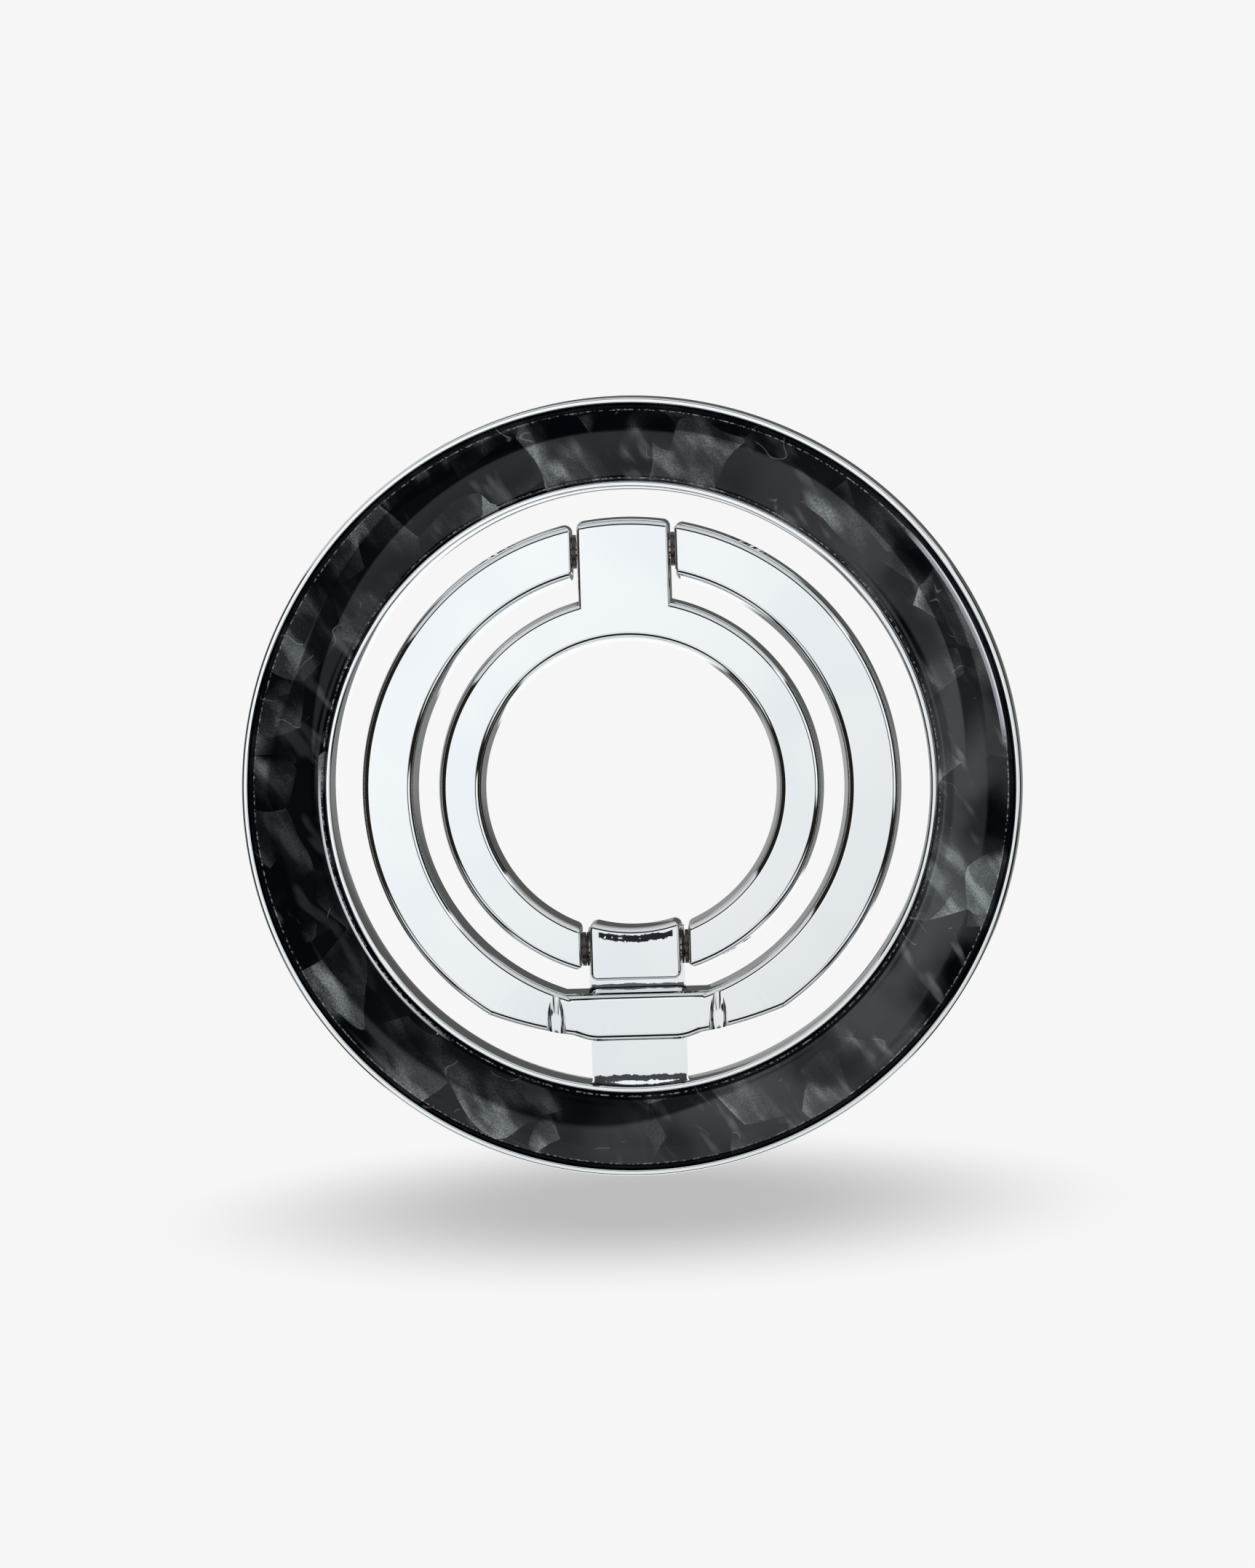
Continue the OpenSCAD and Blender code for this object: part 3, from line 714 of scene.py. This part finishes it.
# %% [markdown]
# ## Finishes
# A finish is a tree of shader nodes. Made node by node it is long to read, so the maths is written as plain
# expressions instead: a small class wraps a node's output, and each operator adds the Math node that does
# it. Every other kind of node comes from one method, which takes its type, its settings and its socket
# values.
# %% A node's output that understands arithmetic
class Wire:
    """A node's output, to be used in expressions."""

    def __init__(self, socket):
        self.socket = socket
        self.tree = socket.id_data

    @classmethod
    def node(cls, tree, kind, settings=None, values=None, output=0):
        """One output of a new node. Its settings are set first, then its sockets get values or wires."""
        made = tree.nodes.new("ShaderNode" + kind)
        for key, value in (settings or {}).items():
            setattr(made, key, value)
        feed(made, values or {})
        return cls(made.outputs[output])

    def out(self, key):
        """Another output of the same node."""
        return Wire(self.socket.node.outputs[key])

    def math(self, operation, *others):
        """A Math node with this value first."""
        return self.node(self.tree, "Math", {"operation": operation}, dict(enumerate((self, *others))))

    def reflected(self, operation, other):
        """A Math node with this value second."""
        return self.node(self.tree, "Math", {"operation": operation}, {0: other, 1: self})

    def __add__(self, other):
        return self.math("ADD", other)

    __radd__ = __add__

    def __mul__(self, other):
        return self.math("MULTIPLY", other)

    __rmul__ = __mul__

    def __sub__(self, other):
        return self.math("SUBTRACT", other)

    def __rsub__(self, other):
        return self.reflected("SUBTRACT", other)

    def __truediv__(self, other):
        return self.math("DIVIDE", other)

    def __rtruediv__(self, other):
        return self.reflected("DIVIDE", other)

    def __gt__(self, other):
        return self.math("GREATER_THAN", other)

    def __lt__(self, other):
        return self.math("LESS_THAN", other)

    def __abs__(self):
        return self.math("ABSOLUTE")

    def ease(self, start, end):
        """0 at start, 1 at end, and smooth between them. The end may be the lower one."""
        low, high, to_low, to_high = (start, end, 0, 1) if start < end else (end, start, 1, 0)
        return self.node(self.tree, "MapRange", {"interpolation_type": "SMOOTHSTEP"}, {
            "Value": self, "From Min": low, "From Max": high, "To Min": to_low, "To Max": to_high})


def feed(node, values):
    """Links wires to a node's sockets, and sets plain values on them."""
    for key, value in values.items():
        slot = node.inputs[key]
        if isinstance(value, Wire):
            node.id_data.links.new(value.socket, slot)
        elif slot.type == "RGBA":
            slot.default_value = (*value, 1)
        else:
            slot.default_value = value


# %% Helpers for patterns
def blend(factor, low, high):
    """Mixes two colours by a factor."""
    return Wire.node(factor.tree, "Mix", {"data_type": "RGBA"}, {0: factor, 6: low, 7: high}, output=2)


def axes(vector):
    """The three parts of a vector or a colour."""
    first = Wire.node(vector.tree, "SeparateXYZ", values={0: vector})
    return [first.out(key) for key in "XYZ"]


def noise(vector, detail):
    """A cloudy value that changes about once per unit of the vector."""
    return Wire.node(vector.tree, "TexNoise", values={"Vector": vector, "Scale": 1.0, "Detail": detail})


def length(x, y):
    """The distance of a point from the origin."""
    return (x * x + y * y).math("SQRT")


def band(wire, low, high, soft):
    """1 between two values, with soft ends."""
    return wire.ease(low - soft, low) * wire.ease(high + soft, high)


# %% Helpers for materials
PER_MM = 1000.0


def start_material(name):
    """A new material, its main shader, and a function for positions in the object's frame."""
    material = bpy.data.materials.new(name)
    material.use_nodes = True
    tree = material.node_tree

    def place(scale=1.0, centre=(0, 0, 0)):
        """Positions from a centre, both in millimetres, times a scale for all three axes or for each."""
        scales = scale if isinstance(scale, tuple) else (scale,) * 3
        position = Wire.node(tree, "TexCoord", output="Object")
        return Wire.node(tree, "Mapping", values={
            "Vector": position,
            "Scale": [s * PER_MM for s in scales],
            "Location": [-c * s for c, s in zip(centre, scales)]})

    return material, tree.nodes["Principled BSDF"], place


def add_bump(shader, height, strength, depth):
    """Bumps on a shader's surface, with their depth in millimetres."""
    bump = Wire.node(shader.id_data, "Bump", values={
        "Strength": strength, "Distance": depth * MM, "Height": height})
    feed(shader, {"Normal": bump})


def wear(piece, material):
    """Gives a piece its material, in place of any it has."""
    piece.data.materials.clear()
    piece.data.materials.append(material)


# %% [markdown]
# ## Chrome
# Bright chrome on a polished casting is close to a mirror. A plain mirror shader looks drawn. What makes it
# look real is a trace of tone, very fine polish marks, and a roughness that isn't the same everywhere. The
# base has painted dark reflections as well, under the knuckle's hollow edge, at the end of the tongue and
# beside the thumb bar, where the plating mirrors things that aren't built here. They are painted into the
# plating's colour as dark patches. The scale of each pattern is in cells per millimetre.
# %% Chrome
PLATE_DULL = (0.88, 0.92, 0.95)
PLATE_BRIGHT = (0.93, 0.96, 0.985)
DARK_REFLECTION_TONE = (0.02, 0.022, 0.03)
CLOUD_SCALE = 0.12
POLISH_SCALE = (0.6, 9.0, 2.0)
RAGGED_SCALE = 2.2


def chrome_material(name, dark_reflections=None):
    """Bright plating, with painted dark reflections as dark patches, given as a function of positions in
    millimetres.
    """
    material, shader, place = start_material(name)
    cloud = noise(place(CLOUD_SCALE), 1.0)
    marks = noise(place(POLISH_SCALE), 3.0)
    colour = blend(cloud.ease(0.35, 0.65), PLATE_DULL, PLATE_BRIGHT)
    if dark_reflections:
        x, y, _ = axes(place())
        # Painted dark reflections: the plating's colour goes dark where they fall.
        colour = blend(dark_reflections(x, y, noise(place(RAGGED_SCALE), 3.0)), colour, DARK_REFLECTION_TONE)
    feed(shader, {"Base Color": colour, "Metallic": 1.0, "Roughness": 0.035 + marks.ease(0.55, 0.8) * 0.05})
    add_bump(shader, marks, 0.03, 0.01)
    return material


# %% Painted dark reflections on the base
KNUCKLE_REFLECTION_R = EDGE_R + 0.85
KNUCKLE_REFLECTION_W = 0.42
KNUCKLE_REFLECTION_X = (-2.6, 2.75)
KNUCKLE_REFLECTION_TOP = -11.8
TONGUE_REFLECTION_Y = -HOLE_R + 0.42
TONGUE_REFLECTION_W = 0.38
TONGUE_REFLECTION_HALF = 3.4
BAR_LINE_Y = BAR_INNER_Y
BAR_LINE_W = 0.32


def painted_hinge_reflections(x, y, ragged):
    """Painted dark reflections under the knuckle's hollow edge, across the tongue's end and beside the bar.
    """
    hollow = length(x, y) + ragged * 0.5
    on_knuckle = band(hollow, KNUCKLE_REFLECTION_R, KNUCKLE_REFLECTION_R + KNUCKLE_REFLECTION_W, 0.05)
    on_knuckle = on_knuckle * band(x, *KNUCKLE_REFLECTION_X, 0.1) * (ragged + x * 0.02).ease(0.30, 0.38)
    on_knuckle = on_knuckle * y.ease(KNUCKLE_REFLECTION_TOP - 0.1, KNUCKLE_REFLECTION_TOP + 0.1)
    across = band(x, -TONGUE_REFLECTION_HALF, TONGUE_REFLECTION_HALF, 0.05)
    on_tongue = band(y + ragged * 0.45, TONGUE_REFLECTION_Y, TONGUE_REFLECTION_Y + TONGUE_REFLECTION_W, 0.05) * across
    by_bar = band(y + ragged * 0.25, BAR_LINE_Y, BAR_LINE_Y + BAR_LINE_W, 0.04) * across
    return (on_knuckle + on_tongue * 0.95 + by_bar * 0.9).math("MINIMUM", 1.0)


chrome = chrome_material("bright_chrome")
# The base carries the painted dark reflections in its chrome colour.
wear(base, chrome_material("bright_chrome_painted_reflections", painted_hinge_reflections))
for piece in (inner, middle):
    wear(piece, chrome)
print("chrome on", [piece.name for piece in (base, inner, middle)])

# %% [markdown]
# ## Dark pearl resin
# The inlay is dark resin with pearl flakes in it, under a clear gloss. A plain noise looks like smoke. Here
# each Voronoi cell is a flake that is bright along one side of its own and fades across. A slanted noise
# draws silky streaks through the flakes, and a fine one gives them their grain. Over that lie painted light
# and reflections of the studio: a curved dark band, dark rims, a glint at both rims, two pale streaks, and
# a brighter right side.
# %% Flakes
CURL = (0.9, 0.9, 0.9)
CURL_SCALE = 0.6
LARGE_FLAKES = 0.15
SMALL_FLAKES = 0.22
GRAIN_SCALE = 9.0


def curled(place, scale):
    """Positions in cells of a scale, pushed about a little so that straight edges curl."""
    spot = place(scale)
    push = Wire.node(spot.tree, "TexNoise", values={"Vector": spot, "Scale": CURL_SCALE, "Detail": 1.0},
                     output="Color")
    return Wire.node(spot.tree, "VectorMath", {"operation": "MULTIPLY_ADD"}, {0: push, 1: CURL, 2: spot})


def cells(spot):
    """Voronoi cells, by their distance. Their colour and position are its other outputs."""
    return Wire.node(spot.tree, "TexVoronoi", {"feature": "F1"}, {"Vector": spot, "Scale": 1.0})


def flakes(place, scale, turn):
    """Flakes with one crisp side: each is bright on a side of its own and fades across."""
    spot = curled(place, scale)
    cell = cells(spot)
    shade, way_x, way_y = axes(cell.out("Color"))
    here_x, here_y, _ = axes(spot)
    middle_x, middle_y, _ = axes(cell.out("Position"))
    slope = (here_x - middle_x) * (way_x - turn) + (here_y - middle_y) * (way_y - 0.5)
    return shade.ease(0.25, 0.95) * slope.ease(-0.12, 0.3)


def pearl(place, fold, silk, right_glow):
    """How bright the flakes are. Folds part large ones from small ones, and the right is brighter, as
    painted light from that side.
    """
    grain = noise(place(GRAIN_SCALE), 2.0)
    light = flakes(place, LARGE_FLAKES, 0.5) * fold.ease(0.42, 0.55)
    light = light + flakes(place, SMALL_FLAKES, 0.4) * fold.ease(0.56, 0.44) * 0.8
    light = light * (0.35 + silk.ease(0.42, 0.60) * 0.95) * (0.6 + grain.ease(0.35, 0.7) * 0.8)
    light = light + silk.ease(0.56, 0.70) * 0.25 + right_glow * fold.ease(0.35, 0.6) * 0.12
    return light * (right_glow * 0.5 + 0.75)


# %% Painted reflections and light of the studio on the resin
WINDOW_X = 0.92
WINDOW_Y = 0.39
CRUMB_SCALE = 4.0
SHADOW_X = 0.6
SHADOW_Y = 2.3
SHADOW_R = 24.8
OUTER_BORDER_W = 0.34
INNER_BORDER_W = 0.42
GLINT_W = 0.06
OUTER_GLINT_R = INLAY_R - 0.44
INNER_GLINT_R = INLAY_HOLE_R + 0.14
OUTER_STREAK_R = INLAY_R - 0.62
OUTER_STREAK_W = 0.32
INNER_STREAK_R = INLAY_HOLE_R + 0.24
INNER_STREAK_W = 0.16


def shadow_band(x, y):
    """Painted dark reflection and shade, as a curved band along the dome. It is widest at the lower left
    and ends at the lower right.
    """
    off_x, off_y = x - SHADOW_X, y - SHADOW_Y
    low_left = (off_x * -0.03 - off_y * 0.028).ease(0.45, 1.0)
    low_right = (off_x * 0.033 - off_y * 0.024).ease(0.72, 0.86)
    away = abs(length(off_x, off_y) - SHADOW_R - low_left * 0.9)
    return (away / (low_left * 1.2 + 0.8)).ease(1.12, 0.88) * (1 - low_right)


def painted_dark_rims(radius, y):
    """Painted dark reflections all round the outside, and along the hole where that looks down."""
    outer = band(radius, INLAY_R - OUTER_BORDER_W, INLAY_R, 0.05)
    return outer + band(radius, INLAY_HOLE_R, INLAY_HOLE_R + INNER_BORDER_W, 0.05) * y.ease(2.0, -16.0)


def painted_glint_rims(place, radius):
    """A painted glint at both rims, broken into a thread of bright crumbs."""
    rims = band(radius, OUTER_GLINT_R, OUTER_GLINT_R + GLINT_W, 0.03)
    rims = rims + band(radius, INNER_GLINT_R, INNER_GLINT_R + GLINT_W, 0.03)
    return rims * noise(place(CRUMB_SCALE), 3.0).ease(0.46, 0.66) * 0.35


def streaks(x, y, radius):
    """Two pale reflections, one at the outer rim on the right and one at the inner rim on the left."""
    facing = (x * WINDOW_X + y * WINDOW_Y) / radius
    outer = band(radius, OUTER_STREAK_R, OUTER_STREAK_R + OUTER_STREAK_W, 0.02) * facing.ease(0.945, 0.985)
    inner = band(radius, INNER_STREAK_R, INNER_STREAK_R + INNER_STREAK_W, 0.02) * facing.ease(-0.86, -0.95)
    return outer + inner


# %% Put the resin together
RESIN_TONE = (0.0015, 0.002, 0.0034)
FLAKE_TONE = (0.25, 0.28, 0.285)
VEIN_TONE = (0.42, 0.46, 0.45)
SPECK_TONE = (0.8, 0.8, 0.8)
GLINT_TONE = (0.6, 0.61, 0.58)
STREAK_TONE = (0.86, 0.86, 0.96)
FOLD_SCALE = 0.16
VEIN_SCALE = 0.3
DOT_SCALE = 0.7


def pearl_material():
    """Dark pearl resin under a clear gloss."""
    material, shader, place = start_material("dark_pearl_resin")
    x, y, _ = axes(place())
    radius = length(x, y)
    fold = noise(place(FOLD_SCALE, (3, 0, 0)), 2.0)
    slant = Wire.node(x.tree, "CombineXYZ", values={"X": x * 0.5 + y * 0.35, "Y": y * 0.16 - x * 0.12})
    silk = noise(slant, 2.0)
    curls = noise(place(VEIN_SCALE, (0, 5, 0)), 1.0)
    # Painted light: the flakes grow brighter towards the right.
    right_glow = ((x * WINDOW_X - y * WINDOW_Y) / radius).ease(-0.6, 1.0)
    # Painted shade and dark reflection: the band dims the flakes and the gloss.
    shadow = shadow_band(x, y)
    # Painted dark reflections along the rims dim the flakes and the gloss.
    dark_rim = painted_dark_rims(radius, y)
    light = pearl(place, fold, silk, right_glow) * (1 - shadow * 0.7) * (1 - dark_rim * 0.9)
    vein = abs(curls - 0.53).ease(0.008, 0.001) * fold.ease(0.52, 0.56) * silk.ease(0.5, 0.56)
    dots = cells(curled(place, DOT_SCALE))
    speck = dots.ease(0.05, 0.02) * (axes(dots.out("Color"))[0] > 0.93)
    streak = streaks(x, y, radius)
    colour = blend(light, RESIN_TONE, FLAKE_TONE)
    colour = blend(vein * 0.18, colour, VEIN_TONE)
    colour = blend(speck, colour, SPECK_TONE)
    # Painted glints along both rims.
    colour = blend(painted_glint_rims(place, radius), colour, GLINT_TONE)
    feed(shader, {"Base Color": blend(streak, colour, STREAK_TONE), "Metallic": streak,
                  "Roughness": 0.3, "Specular IOR Level": 0.0, "Coat Roughness": 0.04, "Coat IOR": 1.44,
                  "Coat Weight": (0.72 - shadow * 0.68) * (1 - dark_rim * 0.8)})
    return material


wear(inlay, pearl_material())
print("resin nodes", len(inlay.data.materials[0].node_tree.nodes))

# %% [markdown]
# ## Soft pad
# The pad is dark and matt, with a fine grain that its roughness and a shallow bump share. One noise feeds
# both, because the real grain is low and shiny at the same spots.
# %% Soft pad
def pad_material():
    """Dark soft plastic with a fine grain."""
    material, shader, place = start_material("soft_pad")
    grain = noise(place(6.0), 5.0)
    feed(shader, {"Base Color": blend(grain, (0.012, 0.012, 0.014), (0.03, 0.03, 0.033)),
                  "Roughness": 0.6 + grain * 0.25})
    add_bump(shader, grain, 0.4, 0.03)
    return material


wear(pad, pad_material())
print("pad finish", pad.data.materials[0].name)

# %% [markdown]
# ## Hidden and small pieces
# The pins, washers, magnets and films are plain CAD solids, seen only in the gaps or from behind. Each kind
# gets a metal or film of two close tones, so that none of them looks flat. They are told apart by their
# names.
# %% Finishes of the small pieces
def metal_material(name, dark, light, roughness):
    """Metal that is cloudy between two tones."""
    material, shader, place = start_material(name)
    cloud = noise(place(1.5), 4.0)
    feed(shader, {"Base Color": blend(cloud, dark, light), "Metallic": 1.0,
                  "Roughness": roughness - 0.05 + cloud * 0.1})
    return material


def film_material():
    """Pale adhesive film."""
    material, shader, place = start_material("adhesive_film")
    feed(shader, {"Base Color": blend(noise(place(2.0), 3.0), (0.7, 0.7, 0.68), (0.8, 0.8, 0.79)),
                  "Roughness": 0.5})
    return material


FINISHES = {
    "magnet": metal_material("nickel_magnet", (0.45, 0.45, 0.44), (0.6, 0.6, 0.58), 0.25),
    "tape": film_material(),
    "shield": metal_material("cold_rolled_steel", (0.4, 0.41, 0.42), (0.55, 0.56, 0.57), 0.3),
    "pin": metal_material("brass_pin", (0.55, 0.47, 0.33), (0.74, 0.66, 0.50), 0.25),
    "spring": metal_material("spring_steel", (0.03, 0.028, 0.026), (0.07, 0.066, 0.06), 0.35),
    # The washers' near-black steel is painted shade of the gap they sit in.
    "washer": metal_material("washer_steel_painted_shade", (0.07, 0.068, 0.066), (0.13, 0.125, 0.12), 0.35)}

dressed = 0
for name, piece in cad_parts.items():
    if piece.hide_render:
        continue
    finish = next(look for word, look in FINISHES.items() if word in name)
    if not piece.material_slots:
        wear(piece, finish)
    for slot in piece.material_slots:
        slot.material = finish
    dressed += 1
print("small pieces dressed", dressed)

# %% [markdown]
# ## Camera
# The photograph looks almost straight at the front, from a little to the right and above, and the object is
# turned a little anticlockwise in it. The camera could be moved by hand until the pictures match. Here its
# place is worked out from three small angles, a distance and the height of the picture at the front of the
# lips, so that each can be set by itself.
# %% Camera
DISTANCE = 310 * MM
FROM_RIGHT = math.radians(2.1)
FROM_ABOVE = math.radians(1.8)
ROLL = math.radians(1.77)
SENSOR = 36.0
FRAME_HEIGHT = 115.1 * MM
AIM_X = -0.187 * MM
AIM_Y = 0.267 * MM
NEAREST = 0.01
FARTHEST = 10


def turned_by_roll(x, y):
    """A direction in the picture, as one in the object's frame."""
    return (x * math.cos(ROLL) + y * math.sin(ROLL), -x * math.sin(ROLL) + y * math.cos(ROLL))


aim = Vector((*turned_by_roll(AIM_X, AIM_Y), LIP_Z * MM))
back = Vector((*turned_by_roll(math.tan(FROM_RIGHT), math.tan(FROM_ABOVE)), 1)).normalized()
right = Vector((*turned_by_roll(0, 1), 0)).cross(back).normalized()
up = back.cross(right)
stand = aim + back * DISTANCE
camera_data = bpy.data.cameras.new("camera")
camera = bpy.data.objects.new("camera", camera_data)
bpy.context.scene.collection.objects.link(camera)
camera.matrix_world = Matrix([[right[i], up[i], back[i], stand[i]] for i in range(3)] + [[0, 0, 0, 1]])
camera_data.sensor_width = SENSOR
camera_data.lens = SENSOR * DISTANCE / FRAME_HEIGHT
camera_data.clip_start = NEAREST
camera_data.clip_end = FARTHEST
bpy.context.scene.camera = camera
print("lens mm", round(camera_data.lens, 1))

# %% [markdown]
# ## Floor
# The holder stands on its edge in front of a pale backdrop, and its soft shadow is painted on the floor
# below it. A lit floor would have to be balanced against the background. This floor gives out its own pale
# light, with a painted shadow that makes it darker in an oval under the object. It is clear from below, and
# clear in reflections, so that the chrome mirrors only the light boxes of the world.
# %% Floor
PALE = (0.922, 0.922, 0.922)
SHADOW_TONE = (0.51, 0.51, 0.51)
FLOOR_Y = -31.2 * MM
FLOOR_SIZE = 2.0
SHADOW_HALF_X = 38.5 * MM
SHADOW_HALF_Z = 48 * MM


def floor_material():
    """Pale light with a painted oval shadow, clear from behind and in reflections."""
    material = bpy.data.materials.new("pale_floor")
    material.use_nodes = True
    tree = material.node_tree
    tree.nodes.remove(tree.nodes["Principled BSDF"])
    oval = Wire.node(tree, "Mapping", values={
        "Vector": Wire.node(tree, "TexCoord", output="Object"),
        "Scale": (1 / SHADOW_HALF_X, 0, 1 / SHADOW_HALF_Z)})
    far = Wire.node(tree, "VectorMath", {"operation": "LENGTH"}, {0: oval}, output="Value")
    # Painted shadow: the floor's light darkens in an oval under the object.
    light = Wire.node(tree, "Emission", values={"Color": blend(far.ease(0.2, 1.0), SHADOW_TONE, PALE)})
    from_behind = Wire.node(tree, "NewGeometry", output="Backfacing")
    in_mirror = Wire.node(tree, "LightPath", output="Is Glossy Ray")
    unseen = from_behind.math("MAXIMUM", in_mirror)
    mix = Wire.node(tree, "MixShader", values={0: unseen, 1: light, 2: Wire.node(tree, "BsdfTransparent")})
    feed(tree.nodes["Material Output"], {"Surface": mix})
    return material


deselect()
bpy.ops.mesh.primitive_plane_add(size=FLOOR_SIZE, location=(0, FLOOR_Y, 0), rotation=(-math.pi / 2, 0, 0))
floor = settle(bpy.context.object, "floor")
wear(floor, floor_material())
print("floor at y mm", round(FLOOR_Y / MM, 1))

# %% [markdown]
# ## World
# Chrome shows nothing but what stands round it, so the world is the most important light. Real light boxes
# could be area lamps, but a lamp's edge is hard to soften. Here the boxes are painted on the world, from
# the direction of each ray: x, y and z run from -1 to 1, and z is the front. A wide box in front whitens
# the flat faces, and a long strip low in front puts a bright line in the edges that look down. The boxes at
# the sides light the walls, and the dark gaps between them draw the lines along the edges.
# %% Light boxes
LEFT_LIGHT = 0.2
BOTTOM_LIGHT = 0.8
STRIP_LIGHT = 0.85
ROOM_LIGHT = 0.008


def light_level(x, y, z):
    """How bright the studio is in a direction."""
    spread = (1 - z * z).math("MAXIMUM", 0.0001).math("SQRT")
    to_right = (x * 0.97 + y * 0.24) / spread
    to_left = (y * 0.2 - x * 0.98) / spread
    to_top = y / spread
    front = band(x, -0.20, 0.16, 0.04) * band(y, -0.48, 0.16, 0.04) * z.ease(0.2, 0.3)
    front_glow = (y * 0.55 - x * 0.5).ease(-0.11, 0.07) * 0.25 + 0.74
    right_box = to_right.ease(0.90, 0.94) * z.ease(0.93, 0.89) * z.ease(0.58, 0.66)
    left_box = to_left.ease(0.70, 0.76) * z.ease(0.2, 0.1)
    top_box = to_top.ease(0.52, 0.56) * z.ease(0.86, 0.80) * z.ease(-0.82, -0.7)
    top_glow = z.ease(-0.4, 0.5) * 0.35 + 0.32
    bottom_box = to_top.ease(-0.72, -0.78) * z.ease(0.45, 0.35)
    behind = z.ease(-0.72, -0.84) * (y.ease(0.05, -0.05) * 0.12 + 0.08)
    strip = abs(x).ease(0.74, 0.66) * band(y, -0.48, -0.31, 0.04) * z.ease(0.5, 0.6)
    level = front * front_glow + right_box + left_box * LEFT_LIGHT + top_box * top_glow
    level = level + bottom_box * BOTTOM_LIGHT + behind + ROOM_LIGHT
    return level.math("MAXIMUM", strip * STRIP_LIGHT)


# %% World
SOFT_FILL = (0.7, 0.7, 0.7)


def studio_world():
    """The light boxes for reflections, one pale tone for the camera, and an even fill for matt surfaces."""
    world = bpy.data.worlds.new("studio")
    bpy.context.scene.world = world
    world.use_nodes = True
    tree = world.node_tree
    level = light_level(*axes(Wire.node(tree, "TexCoord", output="Generated")))
    lit = Wire.node(tree, "CombineColor", values={
        "Red": level * 0.98 + 0.006, "Green": level * 0.993 + 0.004, "Blue": level})
    to_camera = Wire.node(tree, "LightPath", output="Is Camera Ray")
    colour = blend(to_camera, lit, PALE)
    feed(tree.nodes["Background"], {"Color": blend(to_camera.out("Is Diffuse Ray"), colour, SOFT_FILL)})
    return world


print("world nodes", len(studio_world().node_tree.nodes))

# %% [markdown]
# ## Key lamp
# The resin and the pad aren't mirrors, so they need a little plain light with a direction. One soft disc
# from the upper right gives it. It is hidden from reflections, where it would show as a stray dot.
# %% Key lamp
LAMP_PLACE = (0.25, 0.25, 0.3)
LAMP_SIZE = 0.25
LAMP_WATTS = 0.6

deselect()
bpy.ops.object.light_add(type="AREA", location=LAMP_PLACE)
lamp = bpy.context.object
lamp.name = "key_lamp"
lamp.data.shape = "DISK"
lamp.data.size = LAMP_SIZE
lamp.data.energy = LAMP_WATTS
lamp.rotation_euler = (-lamp.location).to_track_quat("-Z", "Y").to_euler()
lamp.visible_glossy = False
print("lamp watts", LAMP_WATTS)

# %% [markdown]
# ## Finish
# The Standard view transform shows a colour as it is written.
# %% Finish
bpy.context.scene.view_settings.view_transform = "Standard"
